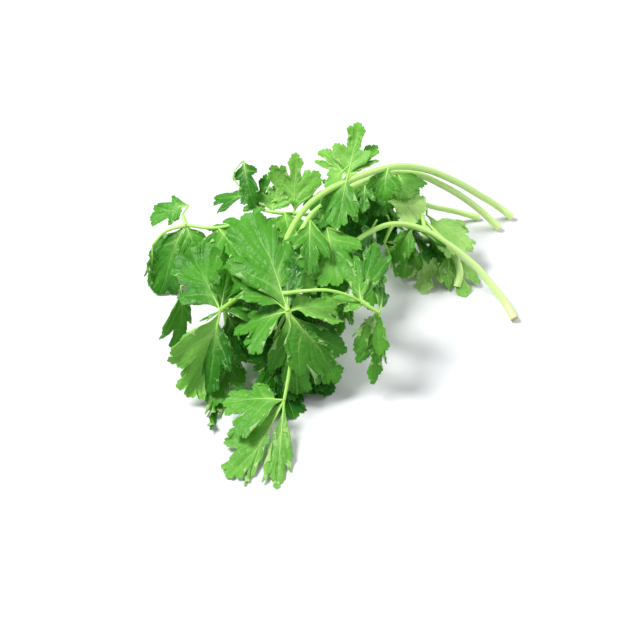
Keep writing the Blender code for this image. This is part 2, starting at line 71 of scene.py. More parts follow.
# A sprig is its stem from the cut end to the top, the stem's radius at both, and its leaves: the path of each stalk
# and the leaflets on it. A leaflet is (base, tip, droop, bank, kind, width, cup), and one without a base starts where
# its stalk ends. Droop and bank are degrees. Cup is how far the sides fall.
SPRIGS = {
    "front": {
        "stem": [
            (132, -28, 2.2), (128, -21, 8), (118, -15, 18), (102, -7, 33), (86, 1, 45), (70, 6, 53), (55, 9, 57),
            (38, 12, 59), (24, 15, 59), (9, 16, 57), (-4, 14, 53), (-17, 9, 48), (-30, -2, 44), (-39, -14, 40),
        ],
        "radii": (2.4, 1.5),
        "leaves": [
            ([(-39, -14, 40)], [
                ((-12, 31, 58), 18, 0, "broad", 1.05, 0.55),
                ((-38, 19, 44), 15, 10, "trio", 1.00, 0.3),
                ((-21, 2, 50), 10, -10, "narrow", 0.95, 0.2),
                ((-53, 5, 27), 25, 0, "broad", 1.05, 0.5),
                ((-53, -32, 8), 30, 0, "broad", 0.95, 0.6),
                ((-17, -25, 33), 35, 0, "trio", 1.00, 0.4),
                ((-31, -40, 11), 40, 50, "trio", 0.75, 0.6),
                ((-37, -37, 4), 40, 30, "trio", 0.90, 0.5),
            ]),
            ([(-34, -6, 43), (-32, -18, 50), (-27, -27, 52), (-21, -35, 49), (-18, -39, 46)], [
                ((10, -24, 54), -10, 0, "cut", 1.00, 0.7),
                ((-6, -27, 50), 10, 0, "narrow", 0.90, 0.2),
            ]),
            ([(-18, -39, 46), (-15, -47, 42)], [
                ((-11, -45, 42), (-25, -40, 22), 25, -15, "cut", 1.00, 0.4),
                ((-13, -46, 34), (-22, -54, 9), 35, 0, "cut", 0.85, 0.5),
                ((8, -31, 39), 20, 55, "trio", 0.80, 0.4),
            ]),
            ([(-39, -14, 40), (-45, -21, 28), (-54, -27, 20), (-63, -32, 14)], [
                ((-77, -8, 8), 22, 0, "broad", 1.10, 0.3),
                ((-104, -39, 0), -24, 0, "cut", 0.90, 0.1),
                ((-95, -55, 0), -24, 0, "cut", 0.80, 0.1),
            ]),
            ([(-38, -13, 40), (-40, -7, 22), (-42, -6, 12)], [
                ((-56, -13, 3), 25, 0, "trio", 0.89, 0.4),
                ((-40, -5, 18), (-51, 4, 13), 15, 0, "trio", 0.94, 0.4),
                ((-59, -35, 0), -12, 0, "trio", 0.75, 0.3),
                ((-34, -38, 0), -8, 0, "broad", 0.85, 0.3),
            ]),
            ([(36, 12, 59), (38, 14, 62)], [((14, 1, 47), 25, 0, "broad", 0.80, 0.3)]),
            ([(61, 8, 56)], [((60, 6, 57), (48, 0, 46), 30, 0, "trio", 1.00, 0.4)]),
        ],
    },
    "left": {
        "stem": [
            (119, -28, 2.1), (116, -20, 9), (108, -11, 20), (97, -3, 31), (86, 4, 40), (73, 10, 46), (57, 12, 50),
            (43, 15, 51), (29, 17, 50), (17, 19, 47), (5, 18, 41), (-20, 14, 37), (-39, 14, 35), (-54, 14, 35),
        ],
        "radii": (2.3, 1.4),
        "leaves": [
            ([(-54, 14, 35)], [
                ((-80, 10, 3), 30, -45, "trio", 0.89, 0.9),
                ((-75, 2, 6), 30, 10, "trio", 0.80, 0.5),
                ((-36, 51, 38), 20, 0, "trio", 1.00, 0.6),
                ((-59, 23, 26), 10, 0, "trio", 0.70, 0.3),
                ((-37, 26, 42), 15, 40, "narrow", 1.22, 0.2),
                ((-39, 12, 30), 20, 0, "trio", 1.30, 0.3),
            ]),
            ([(-46, 14, 35), (-47, 25, 33), (-44, 37, 32)], [
                ((-51, 43, 32), (-65, 37, 3), 35, -65, "broad", 1.00, 0.4),
            ]),
            ([(-51, 14, 35), (-51, 14, 22), (-50, 13, 13)], [
                ((-62, -2, 5), 20, 0, "trio", 0.85, 0.3),
                ((-56, 9, 8), (-91, -11, 0), -16, -20, "narrow", 0.45, 0.2),
            ]),
            ([(73, 10, 46)], [((67, -4, 39), 30, 0, "broad", 1.25, 0.4)]),
        ],
    },
    "far_left": {
        "stem": [
            (91, -3, 1.4), (79, 8, 1), (60, 13, 8), (39, 26, 16), (18, 39, 28), (5, 50, 34), (-9, 61, 33),
            (-15, 76, 31),
        ],
        "radii": (1.8, 1.0),
        "leaves": [
            ([(-15, 76, 31), (-12, 81, 34)], [((-7, 81, 37), (-21, 96, 28), 35, -35, "broad", 1.10, 0.3)]),
            ([(-15, 76, 31)], [
                ((-37, 74, 0), 40, 0, "broad", 1.00, 0.7),
                ((-21, 62, 18), 30, 0, "trio", 0.94, 0.3),
            ]),
            ([(-15, 76, 31), (-23, 83, 28), (-30, 86, 22)], [((-40, 81, 2), 20, -50, "trio", 0.66, 0.3)]),
            ([(-8, 61, 33)], [
                ((-4, 52, 26), 20, 0, "trio", 0.94, 0.3),
                ((-17, 48, 20), 20, 0, "trio", 1.13, 0.3),
            ]),
            ([(3, 52, 34)], [((-10, 65, 29), 20, 0, "trio", 0.75, 0.3)]),
        ],
    },
    "back_left": {
        "stem": [
            (99, 16, 1.4), (88, 28, 1), (69, 29, 10), (47, 33, 22), (28, 37, 32), (19, 46, 34), (17, 55, 33),
        ],
        "radii": (1.8, 1.0),
        "leaves": [
            ([(17, 55, 33), (16, 65, 40), (17, 72, 47), (24, 73, 50)], [
                ((26, 73, 50), (14, 56, 36), 20, 30, "narrow", 0.90, 0.3),
            ]),
            ([(17, 55, 33)], [
                ((16, 64, 37), (11, 81, 30), 15, 0, "trio", 1.20, 0.3),
                ((29, 60, 46), 15, 0, "trio", 0.85, 0.3),
            ]),
            ([(18, 47, 34)], [((28, 52, 44), -10, 0, "trio", 1.10, 0.2)]),
            ([(26, 39, 33)], [
                ((40, 50, 58), -12, 0, "cut", 0.95, 0.2),
                ((20, 40, 36), (6, 24, 33), 20, 0, "broad", 0.85, 0.3),
            ]),
        ],
    },
    "back": {
        "stem": [
            (120, -14, 1.8), (109, -5, 8), (94, 1, 17), (80, 7, 28), (71, 15, 36), (66, 24, 40), (62, 32, 41),
        ],
        "radii": (2.0, 1.2),
        "leaves": [
            ([(64, 29, 41), (62, 33, 39)], [
                ((83, 43, 58), -10, 0, "trio", 0.95, 0.2),
                ((64, 55, 46), 10, 0, "trio", 1.00, 0.3),
                ((87, 32, 45), 10, 0, "trio", 0.95, 0.3),
            ]),
            ([(62, 32, 41)], [
                ((59, 28, 42), (48, 15, 30), 25, 0, "trio", 0.85, 0.3),
                ((52, 31, 38), (26, 21, 31), 25, 0, "broad", 0.85, 0.4),
            ]),
            ([(71, 15, 36), (69, 17, 30)], [
                ((49, 14, 17), 25, 0, "broad", 0.94, 0.4),
                ((71, 7, 14), 25, 0, "trio", 0.94, 0.4),
            ]),
            ([(67, 21, 39), (59, 19, 41)], [((48, 12, 33), 30, 0, "trio", 0.85, 0.4)]),
        ],
    },
    "centre": {
        "stem": [
            (61, -75, 2.2), (65, -67, 5), (67, -57, 10), (67, -46, 17), (66, -41, 20), (62, -31, 27),
            (57, -21, 33), (52, -14, 36), (44, -8, 38), (31, -5, 39), (18, -4, 39), (7, -1, 37),
        ],
        "radii": (2.4, 1.3),
        "leaves": [
            ([(8, -1, 37), (8, 4, 44), (7, 12, 52)], [((-17, -7, 43), 20, -10, "trio", 0.80, 0.4)]),
            ([(19, -4, 39), (18, 3, 43), (15, 8, 45)], [((-9, -19, 36), 25, 10, "trio", 0.95, 0.5)]),
            ([(20, -4, 39)], [((7, -15, 30), 25, 0, "trio", 0.94, 0.4)]),
            ([(8, -1, 37), (-4, -5, 35)], [
                ((-23, -9, 38), 10, 0, "trio", 0.94, 0.3),
                ((-16, -22, 34), 20, 0, "trio", 0.94, 0.3),
            ]),
            ([(13, -3, 38), (7, -12, 28), (0, -17, 24)], [((-10, -20, 8), 20, 0, "trio", 0.56, 0.3)]),
            ([(62, -31, 27), (64, -16, 32), (64, 0, 36), (59, 4, 38)], [((72, -11, 33), 20, 0, "broad", 1.35, 0.2)]),
            ([(57, -21, 33), (64, -14, 34), (71, -9, 31), (78, -7, 28)], [
                ((77, -8, 25), (81, -36, 13), 15, 0, "broad", 1.00, 0.3),
            ]),
            ([(18, -4, 39), (24, -6, 33)], [((19, -23, 20), 25, 0, "broad", 0.85, 0.4)]),
            ([(7, -1, 37), (7, 5, 30)], [((-7, 4, 16), 25, 0, "broad", 0.94, 0.4)]),
            ([(53, -16, 35)], [
                ((70, -21, 14), 20, 0, "trio", 1.03, 0.3),
                ((43, -13, 16), 20, 0, "trio", 0.75, 0.3),
            ]),
            ([(45, -9, 38), (39, -9, 30)], [((43, -14, 8), 20, 0, "narrow", 0.94, 0.3)]),
        ],
    },
    "right": {
        "stem": [
            (63, -39, 2), (68, -37, 7), (73, -28, 12), (73, -18, 14), (67, -7, 14),
        ],
        "radii": (2.3, 1.4),
        "leaves": [
            ([(72, -15, 13)], [((49, -29, 0), -12, 0, "broad", 0.85, 0.2)]),
            ([(75, -25, 12)], [
                ((59, -46, 0), -12, 0, "trio", 0.85, 0.2),
                ((59, -36, 2), 15, 0, "trio", 0.75, 0.2),
            ]),
            ([(67, -7, 14)], [
                ((49, -14, 3), 25, 0, "trio", 0.94, 0.3),
                ((48, -4, 12), 25, 0, "trio", 0.94, 0.3),
            ]),
        ],
    },
}

# Leaflets too deep in the bunch to shape its outline, so only this dress has them, in the same form as above. They
# are numbered on from the sprig's own leaflets.
DEEP_LEAVES = {
    "far_left": [
        ([(-8, 61, 33)], [((-8, 60, 33), (-17, 33, 27), 25, 0, "trio", 0.80, 0.3)]),
    ],
    "left": [
        ([(-51, 14, 32)], [((-50, 14, 30), (-51, 3, 12), 20, 0, "trio", 1.00, 0.3)]),
        ([(-20, 14, 37), (-21, 26, 34)], [((-21, 30, 31), (-34, 28, 19), 20, 0, "broad", 0.90, 0.3)]),
        ([(-50, 14, 28)], [((-46, 14, 24), (-41, 3, 9), 20, 0, "broad", 1.00, 0.3)]),
        ([(-51, 13, 14)], [((-55, 8, 12), (-79, -2, 2), 15, 0, "trio", 0.80, 0.3)]),
        ([(-20, 14, 35)], [((-22, 14, 32), (-31, 4, 21), 20, 0, "broad", 1.00, 0.3)]),
        ([(-25, 14, 32)], [((-28, 16, 27), (-37, 24, 14), 20, 0, "broad", 1.30, 0.3)]),
        ([(-29, 8, 34)], [((-30, 9, 30), (-36, 13, 20), 20, 0, "broad", 1.20, 0.3)]),
    ],
    "back_left": [
        ([(28, 37, 32)], [((28, 37, 30), (6, 26, 18), 25, 0, "broad", 1.10, 0.3)]),
        ([(24, 41, 33)], [((23, 43, 32), (13, 39, 21), 20, 0, "broad", 1.30, 0.3)]),
        ([(22, 48, 39)], [((21, 51, 36), (13, 63, 30), 20, 0, "broad", 0.70, 0.3)]),
    ],
    "back": [
        ([(71, 15, 33)], [((74, 17, 22), (42, 19, 15), 20, 0, "broad", 1.10, 0.3)]),
        ([(70, 16, 37)], [((70, 14, 39), (56, 10, 27), 20, 0, "broad", 1.10, 0.3)]),
        ([(62, 30, 38)], [((57, 26, 31), (35, 22, 23), 20, 0, "broad", 1.10, 0.3)]),
        ([(54, 26, 53)], [((52, 28, 50), (43, 33, 41), 20, 0, "broad", 1.30, 0.3)]),
    ],
    "centre": [
        ([(52, -14, 36)], [((57, -11, 28), (68, -21, 10), 20, 0, "broad", 1.20, 0.3)]),
        ([(13, -3, 38)], [((12, 1, 30), (-5, -3, 17), 20, 0, "broad", 1.10, 0.3)]),
        ([(70, 1, 32)], [((71, 0, 28), (76, -7, 18), 20, 0, "broad", 1.20, 0.3)]),
        ([(56, 2, 32)], [((57, 1, 28), (68, -3, 16), 20, 0, "broad", 1.10, 0.3)]),
        ([(31, 23, 40)], [((30, 23, 36), (26, 24, 24), 20, 0, "broad", 1.20, 0.3)]),
        ([(43, -1, 38)], [((41, 0, 34), (36, 3, 22), 20, 0, "broad", 1.20, 0.3)]),
    ],
    "front": [
        ([(-18, -39, 46)], [((-16, -42, 45), (-23, -27, 45), 15, 0, "trio", 1.00, 0.3)]),
        ([(-39, -9, 26)], [((-34, -10, 23), (-52, -8, 8), 20, 0, "broad", 1.10, 0.3)]),
        ([(-41, -7, 18)], [((-37, -17, 19), (-41, -35, 4), 20, 0, "broad", 1.10, 0.3)]),
        ([(-38, -13, 36)], [((-33, -13, 31), (-22, -28, 20), 25, 0, "broad", 1.10, 0.3)]),
        ([(-28, -8, 40)], [((-23, -9, 35), (-38, -10, 24), 25, 0, "broad", 1.20, 0.3)]),
        ([(-26, -9, 38)], [((-20, -10, 33), (-15, -15, 19), 25, 0, "broad", 1.30, 0.3)]),
        ([(4, -30, 42)], [((5, -32, 39), (-2, -30, 25), 25, 0, "broad", 1.00, 0.3)]),
        ([(5, 15, 36)], [((4, 15, 32), (-2, 18, 20), 20, 0, "broad", 1.20, 0.3)]),
        ([(1, -23, 42)], [((0, -21, 38), (-4, -14, 28), 20, 0, "broad", 1.10, 0.3)]),
    ],
    "right": [
        ([(71, -13, 19)], [((71, -15, 16), (71, -26, 7), 20, 0, "broad", 1.20, 0.3)]),
    ],
}

# Stalks finer than the others, by sprig and number.
THREADS = {("back_left", 0): 0.5}

# How dark or pale single leaflets are, by sprig and number: 0 is the darkest green, 2 the palest.
# Partly painted light: lit or backlit leaflets are made paler, and shaded leaflets deep in the bunch the darkest.
TONES_AND_PAINTED_LIGHT = {
    "front": {
        0: 0.5, 1: 0.6, 2: 0.1, 3: 0.55, 4: 0.45, 5: 1.2, 6: 0.4, 7: 0.2, 8: 0.25, 9: 0.8, 10: 0.8, 11: 0.7,
        12: 0.1, 13: 0.85, 14: 1.0, 15: 1.1, 16: 0.1, 17: 0.1, 18: 0.0, 19: 0.1, 20: 0.5, 21: 0.6, 22: 0.95,
        23: 0.0, 24: 0.0, 25: 0.0, 26: 0.0, 27: 0.0, 28: 0.8, 29: 0.1, 30: 0.9,
    },
    "left": {
        0: 1.2, 1: 0.0, 2: 0.35, 3: 0.6, 4: 0.2, 5: 0.2, 6: 0.7, 7: 0.1, 8: 0.7, 9: 1.0, 10: 0.0, 11: 0.1, 12: 0.0,
        13: 0.5, 14: 0.2, 15: 0.1, 16: 0.1,
    },
    "far_left": {0: 0.5, 1: 0.15, 2: 0.6, 3: 0.3, 7: 0.6},
    "back_left": {0: 0.15, 1: 0.2, 2: 0.3, 3: 1.3, 4: 1.4, 6: 0.0, 7: 0.1, 8: 0.7},
    "back": {0: 1.3, 1: 1.2, 2: 0.9, 4: 0.25, 8: 0.0, 9: 0.2, 10: 0.1, 11: 1.3},
    "centre": {
        0: 0.5, 1: 0.8, 2: 0.1, 6: 2.0, 7: 1.8, 10: 0.0, 13: 0.0, 14: 0.0, 15: 0.6, 16: 0.0, 17: 0.1, 18: 0.1,
    },
    "right": {0: 2.0, 1: 1.6, 2: 1.0, 3: 0.8, 4: 1.5, 5: 0.2},
}

# What else sets single leaflets apart: "fan" is (left half angle, left length, right half angle, right length) of its
# outer lobes, in degrees and shares of the blade, "middle" the middle lobe's share of it, "whole" how far the clefts
# leave the blade whole, "fold" and "twist" its degrees about the midrib, "relief" the share of its ripples that it
# keeps, and "flip" shows its underside upwards.
CHARACTER = {
    "front": {
        0: dict(fan=(38, 0.68, 22, 0.76), middle=0.5, whole=0.66, fold=6, twist=0),
        1: dict(fan=(32, 0.76, 46, 0.84), whole=0.74),
        2: dict(fan=(34, 0.8, 34, 0.8), whole=0.7),
        3: dict(fan=(62, 0.95, 70, 0.84), whole=0.68),
        4: dict(fan=(34, 1.0, 38, 0.72), whole=0.68),
        5: dict(fan=(62, 0.82, 46, 0.94), whole=0.7),
        6: dict(fan=(18, 0.6, 56, 0.78), whole=0.66, fold=34),
        7: dict(fan=(40, 0.8, 34, 0.8)),
        8: dict(fan=(24, 0.85, 24, 0.95), whole=0.7),
        9: dict(fan=(34, 0.85, 34, 0.85)),
        10: dict(fan=(50, 0.86, 14, 0.8)),
        11: dict(fan=(16, 0.78, 50, 0.74), whole=0.42),
        12: dict(fan=(30, 0.8, 26, 0.8)),
        13: dict(fan=(60, 0.88, 44, 0.66), whole=0.6, fold=4, relief=0.35),
        14: dict(fan=(11, 0.97, 42, 0.82), whole=0.8, fold=4, relief=0.35),
        15: dict(fan=(18, 0.84, 15.5, 0.97), whole=0.9, fold=4, relief=0.35),
        20: dict(fan=(34, 0.85, 44, 0.85), whole=0.72),
        21: dict(fan=(52, 0.85, 52, 0.85), whole=0.66),
    },
    "left": {
        0: dict(fan=(24, 0.72, 47, 0.86), whole=0.8, fold=26),
        1: dict(fan=(34, 0.78, 46, 0.78), whole=0.7),
        2: dict(fan=(58, 0.6, 60, 0.74), whole=0.66),
        3: dict(fan=(26, 0.7, 26, 0.7)),
        4: dict(fan=(40, 0.7, 40, 0.7)),
        5: dict(fan=(60, 0.84, 60, 0.84)),
        6: dict(fan=(30, 0.66, 30, 0.8)),
        8: dict(fan=(22, 0.76, 22, 0.76)),
        9: dict(fan=(74, 0.9, 66, 0.86), whole=0.74),
    },
    "far_left": {
        0: dict(fan=(40, 0.6, 58, 0.46), whole=0.76),
        1: dict(fan=(42, 0.78, 52, 0.78)),
        2: dict(fan=(48, 0.8, 48, 0.8)),
        3: dict(fan=(44, 0.78, 24, 0.7)),
    },
    "back_left": {
        0: dict(fan=(56, 0.5, 56, 0.5), fold=20),
        1: dict(fan=(52, 0.88, 56, 0.76)),
        2: dict(fan=(46, 0.85, 46, 0.85)),
        3: dict(fan=(64, 0.9, 60, 0.86)),
        4: dict(fan=(44, 0.84, 50, 0.84), middle=0.22, whole=0.6),
    },
    "back": {
        0: dict(fan=(52, 0.64, 48, 0.58), middle=0.27, whole=0.52),
        1: dict(fan=(36, 0.8, 44, 0.84)),
        2: dict(fan=(42, 0.8, 32, 0.76)),
    },
    "centre": {
        0: dict(fan=(44, 0.8, 44, 0.8)),
        1: dict(fan=(62, 0.6, 62, 0.6), whole=0.6),
        2: dict(fan=(50, 0.75, 50, 0.75)),
        6: dict(fan=(60, 0.9, 60, 0.9), whole=0.88, flip=True),
        7: dict(fan=(38, 0.84, 54, 0.94), whole=0.8),
    },
    "right": {
        0: dict(fan=(32, 0.85, 50, 0.85), whole=0.5),
        1: dict(fan=(46, 0.84, 24, 0.8)),
        2: dict(fan=(38, 0.8, 38, 0.8)),
        3: dict(fan=(42, 0.8, 42, 0.8)),
        4: dict(fan=(42, 0.8, 42, 0.8)),
    },
}

# The outline of a blade, in shares of its length where no unit is given.
MIDDLE_SHARE = 0.38  # the middle lobe's share of the fan
LOBE_SIDES, LOBE_TOP = 2.6, 0.55  # powers that round a lobe
OUTER_FOOT = 0.34  # where the blade's two outer edges leave its base, as a share of the outer lobe
CLEFT_LIMIT = 0.85  # clefts end no further out than this share of their lobe
LOBE_SPREAD = 0.34  # how much wider the lobes are past the clefts
SPREAD_END = 1.05  # reach at which the lobes are that wide
OPENING, OPENING_END = 0.5, 0.4  # share of its angle that a vein leaves the base at, and reach of its full angle
VEIN_START, VEIN_SHARE = 0.22, 0.45  # midrib with side veins: its share on a fully cleft blade, and more when whole

# Its teeth. Millimetres of rim where no share is said.
STEP, LEAST_COLUMNS = 0.6, 8  # between two columns of the grid, and the fewest on a lobe
RIM_SAMPLES = 600  # points that a lobe's rim is measured with
RIM_END = 2.0  # the notches fade out this near the end of a lobe
BUMP_PITCH, BUMP_DEPTH, BUMP_POWER = 8.0, 0.27, 1.3  # one small lobe, the share of it that its notch is deep, its cusp
SMALL_PITCH, FULL_LENGTH = 0.55, 30  # share of the pitch on the smallest blade, and blade length with the full pitch
TOOTH_SHARE = 3  # teeth on each small lobe
UNEVEN, UNEVEN_WAVES = 0.4, (1.7, 4.1)  # how the notches differ in depth, by two waves along the rim
NOTCH_POWER = 4  # how fast a notch fades from the rim towards the midrib

# Its relief, in millimetres where no share is said.
ROWS, ROW_POWER = 9, 1.25  # grid rows from midrib to rim, and how they crowd towards the rim
RIPPLE_RUN = 2.5  # turn of the ripples from base to tip, in radians
FRILL = 0.35  # of the ripple, along the rim
FURROW, FURROW_FADE = 0.28, 1.3  # depth along the side veins, and the share past the rim where it would end
GUTTER, GUTTER_WIDTH = 0.35, 1.2  # depth and half width along the main veins
GUTTER_START, GUTTER_FADE = 0.2, 0.8  # reach of its full depth, and how much of it is lost at the rim
LEAST_PITCH = 0.05  # side veins come no closer at the midrib than this share of their pitch
UPRIGHT = 0.995  # a blade that rises more steeply than this has no up of its own
LEAST_BEND = 1  # degrees
CREASE = 0.06  # share of the length over which the fold at the midrib is rounded
FLOOR_GAP = 0.35  # lowest that a blade's middle surface comes
GROUND = 0.02  # lowest that a stem comes

# Stems, stalks and midribs, in millimetres.
SLIM = 0.82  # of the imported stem's radius
STEM_STEP, STEM_SIDES, RIB_DEPTH = 1.6, 24, 0.05
CUT_RINGS, CUT_DISH = ((0.86, 0.0), (0.45, 0.35)), 0.4  # rings of a cut face by share of radius and depth, and middle
STALK_STEP, STALK_SIDES, STALK_RIBS, STALK_RIB_DEPTH, STALK_FLAT = 1.2, 14, 5, 0.06, 0.85
STALK_RADIUS, STALK_TAPER = 0.72, 0.25  # at its end, and how much more at its start
SHEATH_RADIUS, SHEATH_LENGTH = 0.7, 2.5  # how much a stalk swells where it leaves the stem, and over what length
MIDRIB_POINTS, MIDRIB_SHARE, MIDRIB_SIDES = 18, 0.7, 8  # it ends at this share of the blade
MIDRIB_RADIUS, MIDRIB_END, MIDRIB_POWER, MIDRIB_FLAT = 0.42, 0.13, 1.5, 0.9
STALK_AGES = (0.6, 1)  # at its two ends; a stem's run from 0 to 1
MIDRIB_AGE, TONE_AGE = 2.0, 0.8  # at the tip of the darkest midrib, and how much less at a tone of 1 or more
SHARP_ANGLE = 70  # degrees
LEAD_STEP, LEAD_LEAST = 1.5, 0.5  # points of a leaflet's own stalk, and the shortest that is made

# The pattern of veins.
MAIN_TAPER = 1.25  # the main veins' width is this less the reach
FINE_VEINS, FINE_NARROW, FINE_STRENGTH = 3.0, 1.4, 0.6  # finer veins in a phase, how much finer, and how strong
FINE_FADE, SIDE_FADE = (0.35, 0.75), (0.1, 0.3)  # reach over which the finer veins and the side veins come in
NET_WIDTH = 0.14  # share of a cell of the net
SIDE_HEIGHT, NET_HEIGHT = 0.6, 0.25  # of the main veins' height

# Colours. A leaflet's tone and its patches, added, choose the green, and the veins' shares are of the vein colour.
# The tone is partly painted light and shade: lit leaflets take the pale greens and shaded ones the darkest.
TONE_STEP = 0.5  # from one green to the next
TONE_AMOUNT, PATCH_AMOUNT = 0.65, 0.22
MAIN_VEIN, SIDE_VEIN, VEIN_NET = 0.24, 0.11, 0.025
VEIN_BASE, BASE_END = 0.2, 0.3  # share of the vein colour at a blade's base, and the reach where that ends
THROUGH, THROUGH_GREEN = 0.3, (0.35, 0.8, 0.03, 1)  # share of the light let through, and its colour
FURROW_GREEN, MIDRIB_GREEN = (0.3, 0.62, 0.08, 1), (0.14, 0.42, 0.05, 1)
PITH, BROWNED = (0.72, 0.74, 0.42, 1), (0.5, 0.3, 0.14, 1)

# The stage, in metres.
FLOOR_HALF, FLOOR_WHITE, SKY_WHITE = 3.0, (0.76, 0.765, 0.78, 1), (0.96, 0.98, 1.0, 1)
KEY_SPOT, KEY_SIZE = (-0.30, 0.42, 0.85), 0.4
FILL_SPOT, FILL_SIZE = (0.45, -0.40, 0.60), 0.7
CAMERA_SPOT, CAMERA_TARGET, CAMERA_LENS = (-0.3277, -0.2752, 0.3680), (-0.0146, -0.0125, 0.0), 61.9


def smooth(x):
    """0 below 0, 1 above 1 and 3x^2 - 2x^3 between."""
    x = np.clip(x, 0, 1)
    return x * x * (3 - 2 * x)


def unit(vector):
    return vector / np.linalg.norm(vector)


def leaves_of(name):
    """The sprig's stalks, each with the blades on it."""
    return [
        (stalk, [Blade(*row) if len(row) == len(Blade._fields) else Blade(stalk[-1], *row) for row in rows])
        for stalk, rows in SPRIGS[name]["leaves"] + DEEP_LEAVES[name]
    ]


def character_of(name, number):
    """How one leaflet differs from its neighbours: ripple height and phase, lift and lean of the lobes, twist, fold,
    tone, partly painted light and shade, and the uneven sizes of its lobes."""
    draw = np.random.default_rng([len(name), ord(name[0]), ord(name[-1]), number])
    character = {
        "ripple": draw.uniform(0.04, 0.075),
        "waves": draw.uniform(1.4, 2.4),
        "phase": draw.uniform(0, 2 * np.pi),
        "lift": draw.uniform(-0.05, 0.05, 3) + np.array([-0.02, 0.03, -0.02]),
        "lean": draw.uniform(-0.06, 0.06, 3),
        "grow": draw.uniform(0.93, 1.07, 2),
        "twist": draw.uniform(-12, 12),
        "fold": draw.uniform(-4, 12),
        "tone": draw.uniform(0, 1),
        "uneven": draw.uniform(-0.08, 0.08),
    }
    character.update(CHARACTER[name].get(number, {}))
    # The tone from the table holds painted light and shade as well as the leaflet's own green.
    character["tone"] = TONES_AND_PAINTED_LIGHT[name].get(number, character["tone"])
    return character


def lobes_of(kind, character):
    """The blade's three lobes, left to right, as rows of (direction, half width, length), angles in radians, and how
    far the clefts leave it whole."""
    direction, half, length, whole = KINDS[kind]
    fan = (direction + half, length) * 2
    left, left_length, right, right_length = character.get("fan", fan)
    share = character.get("middle", MIDDLE_SHARE)
    ends = np.radians([-left, -left * share, right * share, right])
    table = np.stack([(ends[1:] + ends[:-1]) / 2, np.diff(ends) / 2, np.ones(3)], -1)
    table[::2, 2] = np.array([left_length, right_length]) * character["grow"]
    return table, character.get("whole", whole + character["uneven"])


def rim_reach(lobes, whole, lobe, q):
    """How far the rim is from the base, at q from -1 to 1 across each lobe, before it is toothed. A lobe rises from
    the clefts beside it to its full length as (1 - |q|^2.6)^0.55; the blade's two outer edges fall to a third."""
    length = lobes[lobe, 2]
    outer = (lobe != 1) & (q * (lobe - 1) > 0)
    foot = np.where(outer, OUTER_FOOT * length, np.minimum(whole, CLEFT_LIMIT * length))
    return foot + (length - foot) * (1 - np.abs(q) ** LOBE_SIDES) ** LOBE_TOP


def blade_frame(base, tip, bank):
    """Along, up and sideways of a blade: up leans by `bank` degrees about the line from base to tip."""
    along = unit(tip - base)
    up = np.array([0.0, 0.0, 1.0])
    if abs(along[2]) > UPRIGHT:
        up = np.array([-1.0, 0.0, 0.0])
    up = unit(up - (up @ along) * along)
    side = np.cross(along, up)
    turn = np.radians(bank)
    return along, np.cos(turn) * up + np.sin(turn) * side, np.cos(turn) * side - np.sin(turn) * up


def blade_length(blade):
    """A blade's length along its bend, and the bend in radians."""
    bend = np.radians(blade.droop if abs(blade.droop) > LEAST_BEND else LEAST_BEND)
    chord = np.linalg.norm(np.subtract(blade.tip, blade.base))
    return chord * (bend / 2) / np.sin(bend / 2), bend


def midrib_share(whole):
    """How far up the blade side veins leave the midrib."""
    return VEIN_START + VEIN_SHARE * whole


def flat_place(lobes, whole, wide, place):
    """Forward and sideways of a point of the flat blade, in lengths. A column starts on the midrib at `root` and
    runs to the rim, `share` of the way: reach times the cosine and sine of its direction, drawn in towards the
    base, spread past the clefts so that the lobes close on each other, with the part of the root still ahead."""
    lobe, q, reach, share, root = (place[key] for key in ("lobe", "q", "reach", "share", "root"))
    free = smooth((reach - whole) / (SPREAD_END - whole))
    opening = OPENING + (1 - OPENING) * smooth(reach / OPENING_END)
    turn = (lobes[lobe, 0] + q * lobes[lobe, 1] * (1 + LOBE_SPREAD * free)) * opening
    return reach * np.cos(turn) + root * (1 - share), reach * np.sin(turn) * wide, turn, free


def blade_relief(character, place, length, turn, free):
    """Height over the flat blade, in lengths: the ripple reach^2 sin, a frill share^3 sin along the rim, each lobe's
    lift and lean past the clefts, furrows cos along the side veins and a gutter along the main veins."""
    lobe, q, reach, share, phase = (place[key] for key in ("lobe", "q", "reach", "share", "phase"))
    ripple = character["ripple"]
    relief = ripple * reach**2 * np.sin(character["waves"] * np.pi * turn + character["phase"] + RIPPLE_RUN * reach)
    relief += FRILL * ripple * share**3 * np.sin(np.pi * phase + 2 * character["phase"])
    relief += (character["lift"][lobe] + character["lean"][lobe] * q) * free
    relief *= character.get("relief", 1)
    relief -= FURROW / length * np.cos(2 * np.pi * phase) * share * (FURROW_FADE - share)
    gutter = np.exp(-((place["gap"] / GUTTER_WIDTH) ** 2)) * smooth(reach / GUTTER_START) * (1 - GUTTER_FADE * share)
    return relief - GUTTER / length * gutter


